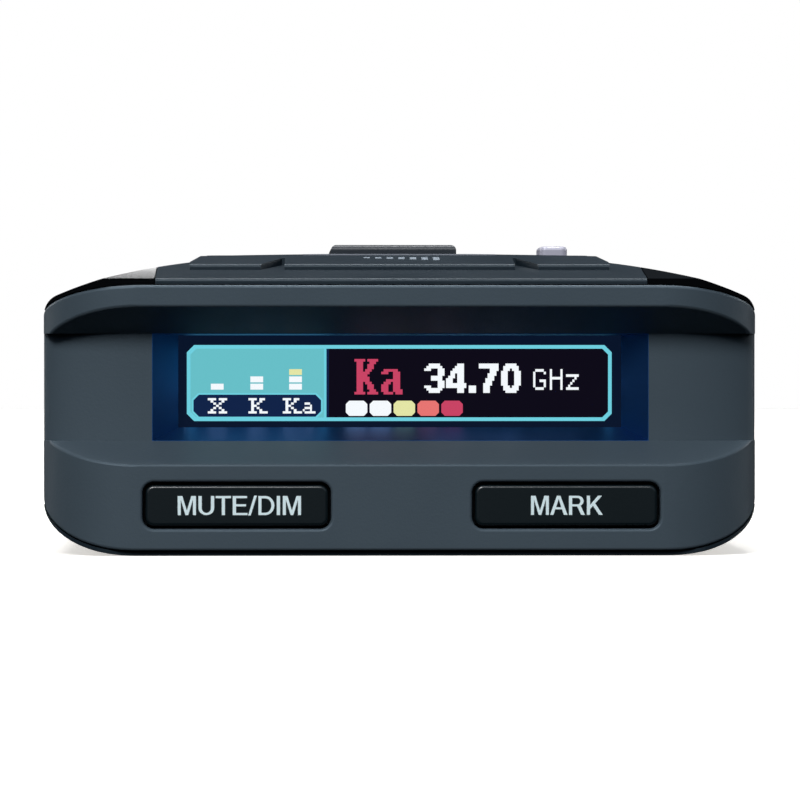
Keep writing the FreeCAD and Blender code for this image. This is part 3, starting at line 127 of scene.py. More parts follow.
def makeBezelAbs():
    s = bezelPlastic
    material, tree, shader = startMaterial("erodedAbsSlate", {
        "Base Color": linear(s["colour"]), "Roughness": s["roughness"], "IOR": 1.53,
        "Specular Tint": linear(s["sheen"]),
    })
    addGrain(tree, shader, s["grainMm"], s["height"], s["roughness"] - 0.05, s["roughness"] + 0.06)
    return material


coverPlastic = {
    "colour": "#1a232a", "roughness": 0.42, "grainMm": 0.3, "height": 0.18,
    "sheen": "#b2c2ce", "sheenLevel": 0.46,
}


def makeCoverAbs():
    # the same ABS a shade darker, off a slightly smoother mould
    s = coverPlastic
    material, tree, shader = startMaterial("erodedAbsBlack", {
        "Base Color": linear(s["colour"]), "Roughness": s["roughness"], "IOR": 1.53,
        "Specular Tint": linear(s["sheen"]), "Specular IOR Level": s["sheenLevel"],
    })
    addGrain(tree, shader, s["grainMm"], s["height"], s["roughness"] - 0.05, s["roughness"] + 0.06)
    return material


def makePianoAcrylic():
    # black acrylic off a polished mould: mirror-like, with a hard clear reflection
    material, tree, shader = startMaterial("polishedAcrylicBlack", {
        "Base Color": linear("#07080a"), "Roughness": 0.05, "IOR": 1.49,
        "Coat Weight": 0.6, "Coat Roughness": 0.02,
    })
    return material


def makeSmokeAcrylic():
    # acrylic dyed to stop visible light: almost black, with a trace of plum
    material, tree, shader = startMaterial("dyedAcrylicSmoke", {
        "Base Color": linear("#150a12"), "Roughness": 0.06, "IOR": 1.49,
        "Coat Weight": 0.4, "Coat Roughness": 0.04,
    })
    return material


keyPlastic = {"colour": "#0a1519", "roughness": 0.3, "grainMm": 0.25, "height": 0.07}


def makeKeyPolycarbonate():
    # moulded polycarbonate key caps: darker and a little glossier than the bezel round them
    s = keyPlastic
    material, tree, shader = startMaterial("mouldedPolycarbonateKey", {
        "Base Color": linear(s["colour"]), "Roughness": s["roughness"], "IOR": 1.58,
    })
    addGrain(tree, shader, s["grainMm"], s["height"])
    return material


def makeSiliconeKey():
    # silicone rubber with a soft-touch lacquer: a dull, even sheen
    material, tree, shader = startMaterial("lacqueredSiliconeKey", {
        "Base Color": linear("#2a2f35"), "Roughness": 0.58, "IOR": 1.42,
        "Sheen Weight": 0.15, "Sheen Roughness": 0.5,
    })
    addGrain(tree, shader, 0.25, 0.08)
    return material


def makeSatinSilver():
    # ABS under aluminium-flake satin lacquer: lavender grey, with a soft metallic lift
    material, tree, shader = startMaterial("flakeLacquerSilver", {
        "Base Color": linear("#b3b1be"), "Roughness": 0.42, "Metallic": 0.15, "IOR": 1.5,
    })
    addGrain(tree, shader, 0.12, 0.02)
    return material


def makeClearAcrylic():
    # clear hard-coated acrylic: shows what is behind it and a thin reflection
    material, tree, shader = startMaterial("hardCoatedAcrylicClear", {
        "Base Color": linear("#04070d"), "Roughness": 0.04, "IOR": 1.49, "Alpha": 0.05,
    })
    material.surface_render_method = "BLENDED"
    return material


def makePanelGlass():
    # display glass where nothing is lit: near black, with the navy haze of the lit dots beside it
    material, tree, shader = startMaterial("displayGlassUnlit", {
        "Base Color": linear("#03050c"), "Roughness": 0.2, "IOR": 1.52, "Specular IOR Level": 0.2,
        "Emission Color": linear("#0a162c"), "Emission Strength": 1.0,
    })
    return material


def makePlainFinish(name, colour, roughness, metallic=0.0, grainMm=0.0, height=0.1):
    settings = {"Base Color": linear(colour), "Roughness": roughness, "Metallic": metallic}
    material, tree, shader = startMaterial(name, settings)
    if grainMm:
        addGrain(tree, shader, grainMm, height)
    return material


def makeBoardLaminate():
    # glass-epoxy laminate under green solder mask: glossy, with the copper faintly showing
    material, tree, shader = startMaterial("solderMaskedLaminate", {
        "Base Color": linear("#0f5a2c"), "Roughness": 0.3, "IOR": 1.55, "Coat Weight": 0.3,
    })
    place = addNode(tree, "ShaderNodeTexCoord")
    tracks = addNode(
        tree, "ShaderNodeTexBrick",
        {
            "Scale": 1 / (2.4 * mm), "Mortar Size": 0.08, "Color1": linear("#0f5a2c"),
            "Color2": linear("#126434"), "Mortar": linear("#2a7d3f"),
        },
        {"Vector": place.outputs["Object"]},
    )
    tree.links.new(tracks.outputs["Color"], shader.inputs["Base Color"])
    return material


def makeGlow(name, colour, strength):
    # one lit colour of the emissive display
    material, tree, shader = startMaterial(name, {
        "Base Color": linear("#000000"), "Roughness": 0.5, "Specular IOR Level": 0.0,
        "Emission Color": linear(colour), "Emission Strength": strength,
    })
    return material


def makeInk(name, colour, roughness=0.45):
    # pad-printed ink: flat, opaque, a little raised
    material, tree, shader = startMaterial(name, {
        "Base Color": linear(colour), "Roughness": roughness, "IOR": 1.5,
    })
    return material


finishes = {
    "bezel_plastic": makeBezelAbs(),
    "cover_plastic": makeCoverAbs(),
    "gloss_trim": makePianoAcrylic(),
    "smoke_window": makeSmokeAcrylic(),
    "key_plastic": makeKeyPolycarbonate(),
    "deck_key_rubber": makeSiliconeKey(),
    "silver_plastic": makeSatinSilver(),
    "clear_window": makeClearAcrylic(),
    "display_glass": makePanelGlass(),
    # closed-cell foam: matt and soot black
    "gasket_foam": makePlainFinish("closedCellFoam", "#15161a", 0.9, grainMm=0.5, height=0.4),
    # black glass-filled nylon, as moulded
    "tray_plastic": makePlainFinish("mouldedNylonBlack", "#0b0d11", 0.5, grainMm=0.3),
    "green_board": makeBoardLaminate(),
    # amber polyimide film: smooth and slightly glossy
    "ribbon_film": makePlainFinish("polyimideFilm", "#b8702a", 0.3),
    "switch_body": makePlainFinish("mouldedSwitchHousing", "#232426", 0.45),
    "plunger_plastic": makePlainFinish("naturalNylon", "#d9d6cb", 0.4),
    # black-oxide steel: dark, with a dull metallic sheen
    "steel_screw": makePlainFinish("blackOxideSteel", "#3b3c40", 0.38, metallic=1.0),
    "spring_steel": makePlainFinish("musicWire", "#b4b5b8", 0.25, metallic=1.0),
    "receiver_plastic": makePlainFinish("glassFilledNylon", "#151e27", 0.42, grainMm=0.3, height=0.16),
    "latch_acetal": makePlainFinish("machinedAcetal", "#cfcfc8", 0.35),
    "tin_plate": makePlainFinish("tinPlateSheet", "#c8c8c4", 0.28, metallic=1.0, grainMm=0.6, height=0.03),
    "chip_epoxy": makePlainFinish("mouldedEpoxy", "#1b1c1d", 0.6, grainMm=0.2),
    "capacitor_sleeve": makePlainFinish("shrinkSleeve", "#1d2440", 0.3),
    "antenna_ceramic": makePlainFinish("firedCeramic", "#cbbf9d", 0.7, grainMm=0.3),
    # die-cast zinc alloy: grey, with the faint mottle of the die
    "horn_casting": makePlainFinish("dieCastZinc", "#b9bbbd", 0.42, metallic=1.0, grainMm=0.9, height=0.12),
    "probe_brass": makePlainFinish("turnedBrass", "#c89f55", 0.25, metallic=1.0),
    "lens_acrylic": makePlainFinish("dyedAcrylicRed", "#3a0a10", 0.08),
    "detector_black": makePlainFinish("castEpoxyBlack", "#101014", 0.2),
    "socket_plastic": makePlainFinish("mouldedSocketNylon", "#131417", 0.38),
    "socket_pin": makePlainFinish("nickelPlate", "#c4c2bc", 0.22, metallic=1.0),
    "felt": makePlainFinish("pressedFelt", "#141416", 0.95, grainMm=0.4, height=0.5),
    "paper_cone": makePlainFinish("pressedPaper", "#2a2622", 0.85, grainMm=0.5, height=0.4),
    "magnet_ferrite": makePlainFinish("nickelledFerrite", "#3f4043", 0.4, metallic=0.6),
    "wire_jacket": makePlainFinish("softPvc", "#8c1a1a", 0.4),
    "label_film": makePlainFinish("silverPolyesterFilm", "#b6b6b1", 0.32, metallic=0.3),
}

nodeSlots = {s["node"]: s["material_slot"] for s in frame["record"]["subparts"]}
for name, obj in nodes.items():
    finish = finishes[nodeSlots[name]]
    for materialSlot in obj.material_slots:
        materialSlot.material = finish
print("finishes on", len(nodes), "nodes")


def finishPiece(name, mesh, material, body):
    # links a finished mesh, put on its body, as a piece of the object
    obj = bpy.data.objects.new(name, mesh)
    bpy.context.scene.collection.objects.link(obj)
    obj.data.materials.clear()
    obj.data.materials.append(material)
    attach(obj, body)
    return obj


def addPlate(bm, x0, x1, z0, z1, y, depth, cut=0.0, cutFrom=-1.0, cutTo=1.0):
    # a thin upright plate whose face is at y, its corners between cutFrom and cutTo cut by that much
    made = bmesh.ops.create_cube(bm, size=1.0)
    centre = Vector(((x0 + x1) / 2, y + depth / 2, (z0 + z1) / 2))
    scale = Vector((x1 - x0, depth, z1 - z0))
    bmesh.ops.scale(bm, vec=scale, verts=made["verts"])
    bmesh.ops.translate(bm, vec=centre, verts=made["verts"])
    if cut:
        own = set(made["verts"])
        across = [
            e for e in bm.edges
            if e.verts[0] in own and e.verts[1] in own
            and abs(e.verts[0].co.y - e.verts[1].co.y) > depth * 0.5
            and cutFrom < e.verts[0].co.x < cutTo
        ]
        bmesh.ops.bevel(
            bm, geom=across, offset=cut, segments=1, profile=0.5, affect="EDGES", material=-1
        )


def plateMesh(name, plates):
    bm = bmesh.new()
    for plate in plates:
        addPlate(bm, **plate)
    mesh = bpy.data.meshes.new(name)
    bm.to_mesh(mesh)
    bm.free()
    return mesh


def bridgeRings(bm, rings, closed=False):
    # joins rings of corners into a tube, each to the next, and gives back the edges of each ring
    loops = []
    for ring in rings:
        verts = [bm.verts.new(corner) for corner in ring]
        loops.append([bm.edges.new(pair) for pair in zip(verts, verts[1:] + verts[:1])])
    following = loops[1:] + loops[:1] if closed else loops[1:]
    for one, other in zip(loops, following):
        bmesh.ops.bridge_loops(bm, edges=one + other)
    return loops


# the lit read-out, in millimetres from the middle of the panel
readout = {
    "halfWidth": 21.0, "low": -3.93, "high": 3.58, "line": 0.36, "cut": 0.72,
    "panelRight": -7.1, "dividerHalf": 0.12, "innerCut": 0.8,
    "pill": (-20.35, -7.75, -3.5, -1.32), "pillCut": 0.55, "pillRim": 0.16, "pillRimCut": 0.62,
    "barX": (-18.0, -14.1, -10.27), "barWidth": 1.26, "barHeight": 0.58, "barPitch": 0.72,
    "barLow": -0.82,
    "cellX": -5.3, "cellPitch": 2.36, "cellWidth": 2.12, "cell": (-3.42, -1.92), "cellCut": 0.34,
    "lift": 0.03, "depth": 0.03,
}

glow = {
    "cyan": makeGlow("glowCyan", "#6dc8d1", 1.0),
    "paleCyan": makeGlow("glowPaleCyan", "#74d9ea", 1.0),
    "navy": makeGlow("glowNavy", "#14264c", 1.0),
    "night": makeGlow("glowNight", "#100d1a", 1.0),
    "white": makeGlow("glowWhite", "#f6fbff", 1.1),
    "paleYellow": makeGlow("glowPaleYellow", "#eef0ae", 1.0),
    "salmon": makeGlow("glowSalmon", "#f27b78", 1.0),
    "crimson": makeGlow("glowCrimson", "#d2486a", 1.0),
}

panelLow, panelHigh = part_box("display_panel")
panelCentre = ((panelLow[0] + panelHigh[0]) / 2, (panelLow[2] + panelHigh[2]) / 2)


def onPanel(x0, x1, z0, z1, layer, cut=0.0):
    # millimetres from the panel's middle to a plate in the frame, in front of the panel by its layer
    depth = readout["depth"] * mm
    return {
        "x0": panelCentre[0] + x0 * mm, "x1": panelCentre[0] + x1 * mm,
        "z0": panelCentre[1] + z0 * mm, "z1": panelCentre[1] + z1 * mm,
        "y": panelLow[1] - (readout["lift"] * (layer + 1) + readout["depth"]) * mm,
        "depth": depth, "cut": cut * mm,
    }


def litPiece(name, plates, colour):
    piece = finishPiece(name, plateMesh(name, plates), glow[colour], "casing")
    # its light is kept off matt surfaces, so the underside of the visor stays dark
    piece.visible_diffuse = False


def makeReadoutGround():
    s = readout
    half, line, cut = s["halfWidth"], s["line"], s["cut"]
    innerCut = cut * s["innerCut"]
    litPiece("readoutFrame", [onPanel(-half, half, s["low"], s["high"], 0, cut)], "paleCyan")
    left = onPanel(line - half, s["panelRight"], s["low"] + line, s["high"] - line, 0.5, innerCut)
    left["cutTo"] = panelCentre[0] - half / 2 * mm
    litPiece("readoutPanel", [left], "cyan")
    inner = onPanel(s["panelRight"], half - line, s["low"] + line, s["high"] - line, 1, innerCut)
    inner["cutFrom"] = panelCentre[0]
    litPiece("readoutGround", [inner], "night")
    edge = s["panelRight"]
    border = onPanel(edge - line, edge, s["low"] + line, s["high"] - line, 0.8)
    litPiece("readoutPanelEdge", [border], "paleCyan")
    x0, x1, z0, z1 = s["pill"]
    rim = s["pillRim"]
    ring = onPanel(x0 - rim, x1 + rim, z0 - rim, z1 + rim, 0.8, s["pillRimCut"])
    litPiece("bandPillRim", [ring], "paleCyan")
    litPiece("bandPill", [onPanel(x0, x1, z0, z1, 1, s["pillCut"])], "navy")
    wide = s["dividerHalf"]
    divider = onPanel(edge - wide, edge + wide, s["low"] + line, s["high"] - line, 2)
    litPiece("readoutDivider", [divider], "navy")


def makeStrengthBars():
    s = readout
    for column, (x, count) in enumerate(zip(s["barX"], (1, 2, 3))):
        for i in range(count):
            z = s["barLow"] + i * s["barPitch"]
            half = s["barWidth"] / 2
            colour = "paleYellow" if i == 2 else "white"
            name = "bandBar" + "XKA"[column] + str(i + 1)
            litPiece(name, [onPanel(x - half, x + half, z, z + s["barHeight"], 1)], colour)


def makeAlertCells():
    s = readout
    for i, colour in enumerate(("white", "white", "paleYellow", "salmon", "crimson")):
        x = s["cellX"] + i * s["cellPitch"]
        plate = onPanel(x, x + s["cellWidth"], s["cell"][0], s["cell"][1], 2, s["cellCut"])
        litPiece("alertCell" + str(i + 1), [plate], colour)


# the display's dot-matrix characters, one string a row, a hash for each lit dot
dotLetters = {
    "X": ("###.###", ".#...#.", "..#.#..", "...#...", "..#.#..", ".#...#.", "###.###"),
    "K": ("###.##.", ".#..#..", ".#.#...", ".##....", ".#.#...", ".#..#..", "###.###"),
    "a": (".......", ".......", ".###...", "....#..", ".####..", "#...#..", ".######"),
    "G": (".####.", "#....#", "#.....", "#.....", "#..###", "#....#", "#....#", ".####."),
    "H": ("#....#", "#....#", "#....#", "######", "#....#", "#....#", "#....#", "#....#"),
    "z": ("......", "......", "######", "....#.", "...#..", "..#...", ".#....", "######"),
    "bigK": (
        "#####.#####", ".###...###.", ".###..###..", ".###..###..", ".###.###...", ".######....",
        ".#####.....", ".######.....", ".######....", ".###.###...", ".###..###..", ".###..###..",
        ".###...###.", "#####.#####",
    ),
    "bigA": (
        ".........", ".........", ".........", ".........", ".######..", "###..###.", ".....###.",
        ".....###.", "..######.", ".###.###.", "###..###.", "###..###.", "###..####", ".####.###",
    ),
    "3": (
        "..#####..", ".#######.", "###...###", "......###", "......###", "...#####.", "...#####.",
        "......###", "......###", "###...###", ".#######.", "..#####..",
    ),
    "4": (
        ".....###.", "....####.", "...#####.", "..######.", "..##.###.", ".###.###.", "###..###.",
        "###..###.", "#########", "#########", ".....###.", ".....###.",
    ),
    "7": (
        "#########", "#########", ".....####", ".....###.", "....####.", "....###..", "...####..",
        "...###...", "..####...", "..###....", "..###....", "..###....",
    ),
    "0": (
        "..#####..", ".#######.", ".###.###.", "###...###", "###...###", "###...###", "###...###",
        "###...###", "###...###", ".###.###.", ".#######.", "..#####..",
    ),
    ".": (
        "...", "...", "...", "...", "...", "...", "...", "...", "...", "###", "###", "###",
    ),
}


def dotPlates(rows, x0, x1, z0, z1, layer):
    # runs of lit dots in each row become one plate each
    wide, high = (x1 - x0) / max(len(r) for r in rows), (z1 - z0) / len(rows)
    plates = []
    for i, row in enumerate(rows):
        top = z1 - i * high
        column = 0
        while column < len(row):
            if row[column] != "#":
                column += 1
                continue
            last = column
            while last + 1 < len(row) and row[last + 1] == "#":
                last += 1
            plates.append(onPanel(x0 + column * wide, x0 + (last + 1) * wide, top - high, top, layer))
            column = last + 1
    return plates


# each word: its characters, where each starts, how wide it is, and the rows' low and high
words = [
    {"name": "bandX", "letters": "X", "starts": (-18.93,), "wide": 1.9, "z": (-3.18, -1.66)},
    {"name": "bandK", "letters": "K", "starts": (-14.92,), "wide": 1.9, "z": (-3.18, -1.66)},
    {"name": "bandKa", "letters": "Ka", "starts": (-11.53, -9.55), "wide": (1.9, 1.25), "z": (-3.18, -1.66)},
    {
        "name": "alertBand", "letters": ("bigK", "bigA"), "starts": (-4.45, -1.8), "wide": (2.55, 2.1),
        "z": (-1.3, 2.2), "colour": "crimson",
    },
    {"name": "frequencyTens", "letters": "34", "starts": (2.45, 4.6), "wide": 2.0, "z": (-1.15, 1.75)},
    {"name": "frequencyPoint", "letters": ".", "starts": (6.85,), "wide": 0.72, "z": (-1.15, 1.75)},
    {"name": "frequencyParts", "letters": "70", "starts": (7.85, 10.05), "wide": 1.95, "z": (-1.15, 1.75)},
    {
        "name": "frequencyUnit", "letters": "GHz", "starts": (13.23, 14.88, 16.48), "wide": 1.25,
        "z": (-0.85, 1.2),
    },
]


def makeWords():
    for word in words:
        plates = []
        low, high = word["z"]
        for i, (letter, start) in enumerate(zip(word["letters"], word["starts"])):
            wide = word["wide"][i] if isinstance(word["wide"], tuple) else word["wide"]
            plates += dotPlates(dotLetters[letter], start, start + wide, low, high, 2)
        litPiece(word["name"], plates, word.get("colour", "white"))


# painted reflection, not a part of the object: the display's blue glow on the recess round the glass,
# painted as a thin blue-tinted metallic film, in mm out from the glass opening
recessGlowPaint = {
    "overlap": 1.2, "depth": 3.02, "flareX": 2.45, "flareLow": 1.25, "flareHigh": 0.15,
    "sink": 0.02, "proud": 0.03, "gap": 0.05, "colour": "#2a5a96", "roughness": 0.46,
}


# a thin film in the recess whose blue metallic colour is a painted reflection of the display's glow
def makePaintedRecessGlow():
    s = recessGlowPaint
    low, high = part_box("display_window")
    rings = []
    for back, offset in ((0, s["sink"]), (0, -s["proud"]), (1, -s["proud"]), (1, s["sink"])):
        out = offset - s["overlap"]
        x0 = low[0] - (out + back * s["flareX"]) * mm
        x1 = high[0] + (out + back * s["flareX"]) * mm
        z0 = low[2] - (out + back * s["flareLow"]) * mm
        z1 = high[2] + (out + back * s["flareHigh"]) * mm
        y = low[1] - s["gap"] * mm - back * s["depth"] * mm
        rings.append([(x0, y, z0), (x1, y, z0), (x1, y, z1), (x0, y, z1)])
    bm = bmesh.new()
    bridgeRings(bm, rings, closed=True)
    bmesh.ops.recalc_face_normals(bm, faces=bm.faces)
    mesh = bpy.data.meshes.new("paintedRecessGlow")
    bm.to_mesh(mesh)
    bm.free()
    # painted reflection: this blue metallic colour stands in for the display's glow mirrored in the recess
    glowPaintFinish = makePlainFinish("paintedDisplayGlowFilm", s["colour"], s["roughness"], metallic=1.0)
    finishPiece("paintedRecessGlow", mesh, glowPaintFinish, "casing")


makePaintedRecessGlow()
makeReadoutGround()
makeStrengthBars()
makeAlertCells()
makeWords()
print("read-out lit")


def ringPoints(cx, cy, rx, ry, start, end, steps=10):
    # points along part of an ellipse, angles in degrees, counter-clockwise from +X
    angles = [math.radians(start + (end - start) * i / steps) for i in range(steps + 1)]
    return [(cx + rx * math.cos(a), cy + ry * math.sin(a)) for a in angles]


def bowl(left, low, high, reach, inset=0.0):
    # a D shape: straight on the left, an elliptic bulge on the right
    middle, half = (low + high) / 2, (high - low) / 2 - inset
    flat = (reach - left) * 0.45
    curve = ringPoints(left + flat, middle, reach - left - flat - inset, half, -90, 90)
    return [(left + inset, middle + half), (left + inset, middle - half)] + curve


# plain block letters on a unit height: width, then outer outline and holes
stem = 0.135
blockLetters = {
    "M": (0.84, [
        (0.05, 0), (0.05, 1), (0.24, 1), (0.42, 0.24), (0.6, 1), (0.79, 1), (0.79, 0), (0.665, 0),
        (0.665, 0.8), (0.475, 0), (0.365, 0), (0.175, 0.8), (0.175, 0),
    ]),
    "U": (0.74, [(0.05, 1), (0.05, 0.36)] + ringPoints(0.37, 0.36, 0.32, 0.36, 180, 360) + [
        (0.69, 1), (0.69 - stem, 1),
    ] + ringPoints(0.37, 0.37, 0.32 - stem, 0.255, 360, 180) + [(0.05 + stem, 1)]),
    "T": (0.64, [
        (0.255, 0), (0.255, 0.88), (0.01, 0.88), (0.01, 1), (0.63, 1), (0.63, 0.88), (0.385, 0.88),
        (0.385, 0),
    ]),
    "E": (0.68, [
        (0.06, 0), (0.06, 1), (0.64, 1), (0.64, 0.885), (0.195, 0.885), (0.195, 0.57), (0.6, 0.57),
        (0.6, 0.455), (0.195, 0.455), (0.195, 0.115), (0.66, 0.115), (0.66, 0),
    ]),
    "/": (0.36, [(0.0, -0.02), (0.25, 1.02), (0.36, 1.02), (0.11, -0.02)]),
    "D": (0.74, bowl(0.06, 0, 1, 0.71), bowl(0.06, 0, 1, 0.71, stem * 0.93)),
    "I": (0.26, [(0.065, 0), (0.065, 1), (0.2, 1), (0.2, 0)]),
    "A": (
        0.72,
        [
            (0.0, 0), (0.28, 1), (0.43, 1), (0.72, 0), (0.575, 0), (0.49, 0.29), (0.215, 0.29), (0.135, 0),
        ],
        [(0.25, 0.4), (0.355, 0.83), (0.46, 0.4)],
    ),
    "R": (
        0.74,
        [
            (0.06, 0), (0.06, 1), (0.42, 1), *ringPoints(0.42, 0.725, 0.25, 0.275, 90, -60),
            (0.72, 0), (0.565, 0), (0.4, 0.44), (0.195, 0.44), (0.195, 0),
        ],
        [(0.195, 0.555), (0.195, 0.885), (0.42, 0.885), *ringPoints(0.42, 0.72, 0.115, 0.165, 80, -80, 6),
         (0.42, 0.555)],
    ),
    "K": (0.72, [
        (0.06, 0), (0.06, 1), (0.195, 1), (0.195, 0.52), (0.52, 1), (0.69, 1), (0.405, 0.6), (0.72, 0),
        (0.56, 0), (0.315, 0.475), (0.195, 0.3), (0.195, 0),
    ]),
}


def outlineMesh(name, outlines, thick, flat=False):
    # closed outlines become one thin solid facing -Y, or +Z if flat; an outline inside another is a hole
    curve = bpy.data.curves.new(name, "CURVE")
    curve.dimensions = "2D"
    curve.fill_mode = "BOTH"
    curve.extrude = thick / 2
    for outline in outlines:
        spline = curve.splines.new("POLY")
        spline.points.add(len(outline) - 1)
        for point, (x, y) in zip(spline.points, outline):
            point.co = (x, y, 0, 1)
        spline.use_cyclic_u = True
    holder = bpy.data.objects.new(name, curve)
    bpy.context.scene.collection.objects.link(holder)
    depsgraph = bpy.context.evaluated_depsgraph_get()
    mesh = bpy.data.meshes.new_from_object(holder.evaluated_get(depsgraph))
    bpy.data.objects.remove(holder)
    if not flat:
        mesh.transform(Matrix.Rotation(math.pi / 2, 4, "X"))
    bm = bmesh.new()
    bm.from_mesh(mesh)
    bmesh.ops.remove_doubles(bm, verts=bm.verts, dist=0.0002 * mm)
    bmesh.ops.recalc_face_normals(bm, faces=bm.faces)
    for face in bm.faces:
        face.smooth = False
    bm.to_mesh(mesh)
    bm.free()
    return mesh


def wordOutlines(words, height, width):
    # the word's letter outlines, centred on the origin, at that height and overall width
    total = sum(blockLetters[c][0] for c in words)
    pen, outlines = 0.0, []
    for c in words:
        advance, *rings = blockLetters[c]
        for ring in rings:
            outlines.append([((pen + x - total / 2) * width / total, (y - 0.5) * height) for x, y in ring])
        pen += advance
    return outlines


legendInk = makeInk("padPrintPaleBlue", "#e6f8fa", 0.5)
silverInk = makeInk("padPrintSilver", "#9aa3ad", 0.4)

keyLegends = {
    "mute_key": {"words": "MUTE/DIM", "height": 1.86, "width": 12.2, "raise": 0.03, "shift": 0.25},
    "mark_key": {"words": "MARK", "height": 1.86, "width": 7.1, "raise": 0.03, "shift": 0.0},
}


def makeKeyLegends():
    for node, s in keyLegends.items():
        low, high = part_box(node)
        outlines = wordOutlines(s["words"], s["height"] * mm, s["width"] * mm)
        mesh = outlineMesh(node + "Legend", outlines, s["raise"] * mm)
        centre = ((low[0] + high[0]) / 2 + s["shift"] * mm, low[1], (low[2] + high[2]) / 2)
        mesh.transform(Matrix.Translation(centre))
        finishPiece(node.replace("_key", "") + "Legend", mesh, legendInk, node + "_body")


makeKeyLegends()
print("key legends printed")


def surfaceZ(node, x, y):
    # height of that node's upper surface at one place
    return nodes[node].ray_cast(Vector((x, y, 1)), Vector((0, 0, -1)))[1].z


def drapedStrip(bm, node, x0, x1, y0, y1, thick, steps):
    # a thin strip of ink that follows the surface under it, in steps along X
    sink = deckPrint["sink"] * mm
    rings = []
    for i in range(steps + 1):
        x = x0 + (x1 - x0) * i / steps
        near, far = surfaceZ(node, x, y0), surfaceZ(node, x, y1)
        rings.append([
            (x, y0, near - sink), (x, y1, far - sink), (x, y1, far + thick), (x, y0, near + thick),
        ])
    loops = bridgeRings(bm, rings)
    for end in (loops[0], loops[-1]):
        bmesh.ops.contextual_create(bm, geom=end)


def drapedMesh(name, node, strips, thick, steps):
    bm = bmesh.new()
    for x0, x1, y0, y1 in strips:
        drapedStrip(bm, node, x0 * mm, x1 * mm, y0 * mm, y1 * mm, thick * mm, steps)
    bmesh.ops.recalc_face_normals(bm, faces=bm.faces)
    mesh = bpy.data.meshes.new(name)
    bm.to_mesh(mesh)
    bm.free()
    return mesh


deckPrint = {
    # millimetres; back is from the display end, marks grow longer from left to right
    "markBack": 12.6, "markLeft": -3.5, "markPitch": 1.15, "markWidth": 0.62, "markCount": 7,
    "markShortest": 0.5, "markGrowth": 0.22,
    "stripX": (-9.5, 9.7), "stripBack": (14.0, 14.8), "stripSteps": 16, "thick": 0.02, "sink": 0.01,
}
markInk = makeInk("padPrintGrey", "#8b959e", 0.4)
stripInk = makeInk("padPrintPewter", "#5a5e66", 0.45)


def makeDeckPrint():
    s = deckPrint
    rear = cadBox[0][1] / mm
    marks = []
    for i in range(s["markCount"]):
        x = s["markLeft"] + i * s["markPitch"]
        y = rear + s["markBack"]
        marks.append((x, x + s["markWidth"], y - s["markShortest"] - i * s["markGrowth"], y))
    mesh = drapedMesh("signalMark", "top_cover", marks, s["thick"], 1)
    finishPiece("signalMark", mesh, markInk, "casing")
    strip = [(*s["stripX"], rear + s["stripBack"][0], rear + s["stripBack"][1])]
    mesh = drapedMesh("deckStrip", "top_cover", strip, s["thick"], s["stripSteps"])
    finishPiece("deckStrip", mesh, stripInk, "casing")


iconPrint = {"raise": 0.03, "ringSteps": 24}
# icons on the deck keys as bars (x0, x1, y0, y1) and rings (radius, line width), in mm from the middle
keyIcons = {
    "menu_key": {"bars": [(-1.1, 1.1, y - 0.13, y + 0.13) for y in (-0.75, 0, 0.75)]},
    "power_key": {"bars": [(-0.13, 0.13, 0.25, 1.35)], "ring": (1.0, 0.26)},
    "volume_down_key": {"bars": [(-1.1, 1.1, -0.15, 0.15)]},
    "volume_up_key": {
        "bars": [(-1.1, 1.1, -0.15, 0.15), (-0.15, 0.15, 0.15, 1.1), (-0.15, 0.15, -1.1, -0.15)],
    },
}


def makeKeyIcons():
    for node, icon in keyIcons.items():
        low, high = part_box(node)
        middle = ((low[0] + high[0]) / 2, (low[1] + high[1]) / 2)
        outlines = []
        for x0, x1, y0, y1 in icon["bars"]:
            outlines.append([(x0 * mm, y0 * mm), (x1 * mm, y0 * mm), (x1 * mm, y1 * mm), (x0 * mm, y1 * mm)])
        if "ring" in icon:
            radius, line = icon["ring"]
            outer = ringPoints(0, 0, radius * mm, radius * mm, 120, 420, iconPrint["ringSteps"])
            within = (radius - line) * mm
            inner = ringPoints(0, 0, within, within, 420, 120, iconPrint["ringSteps"])
            outlines.append(outer + inner)
        mesh = outlineMesh(node + "Icon", outlines, iconPrint["raise"] * mm, flat=True)
        mesh.transform(Matrix.Translation((*middle, high[2])))
        finishPiece(node.replace("_key", "") + "Icon", mesh, silverInk, node + "_body")


labelPrint = {
    # a plain border and plain rules, millimetres from the label's middle
    "border": (18.5, 10.5, 0.3), "rules": [(-15, 9, y) for y in (6.5, 3.5, 0.5, -2.5)],
    "rule": 0.9, "thick": 0.02,
}


def makeLabelPrint():
    s = labelPrint
    low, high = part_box("bottom_label")
    middle = ((low[0] + high[0]) / 2, (low[1] + high[1]) / 2)
    half, rise, line = s["border"]
    corners = [(-1, -1), (1, -1), (1, 1), (-1, 1)]
    outlines = [[(u * half * mm, v * rise * mm) for u, v in corners]]
    outlines.append([(u * (half - line) * mm, v * (rise - line) * mm) for u, v in corners])
    for x0, x1, y in s["rules"]:
        y1 = y + s["rule"]
        outlines.append([(x0 * mm, y * mm), (x1 * mm, y * mm), (x1 * mm, y1 * mm), (x0 * mm, y1 * mm)])
    mesh = outlineMesh("labelRules", outlines, s["thick"] * mm, flat=True)
    mesh.transform(Matrix.Translation((*middle, low[2])))
    finishPiece("labelRules", mesh, makeInk("labelBlack", "#1b1c1e", 0.5), "casing")


makeDeckPrint()
makeKeyIcons()
makeLabelPrint()
print("deck, key and label print done")


studio = {
    "floorColour": "#f4f1ec", "floorSize": 4.0, "floorRoughness": 0.8, "floorLift": 0.62,
    "skyColour": "#d6e7fa", "front": 0.9, "far": 0.06, "above": 0.3, "below": 0.01,
    "frontToFar": (-0.95, 0.1), "horizonToAbove": (0.3, 0.9), "belowToSky": (0.12, 0.5),
    "backdropColour": "#ffffff", "backdropBack": 1.2, "backdropSize": 3.0,
}

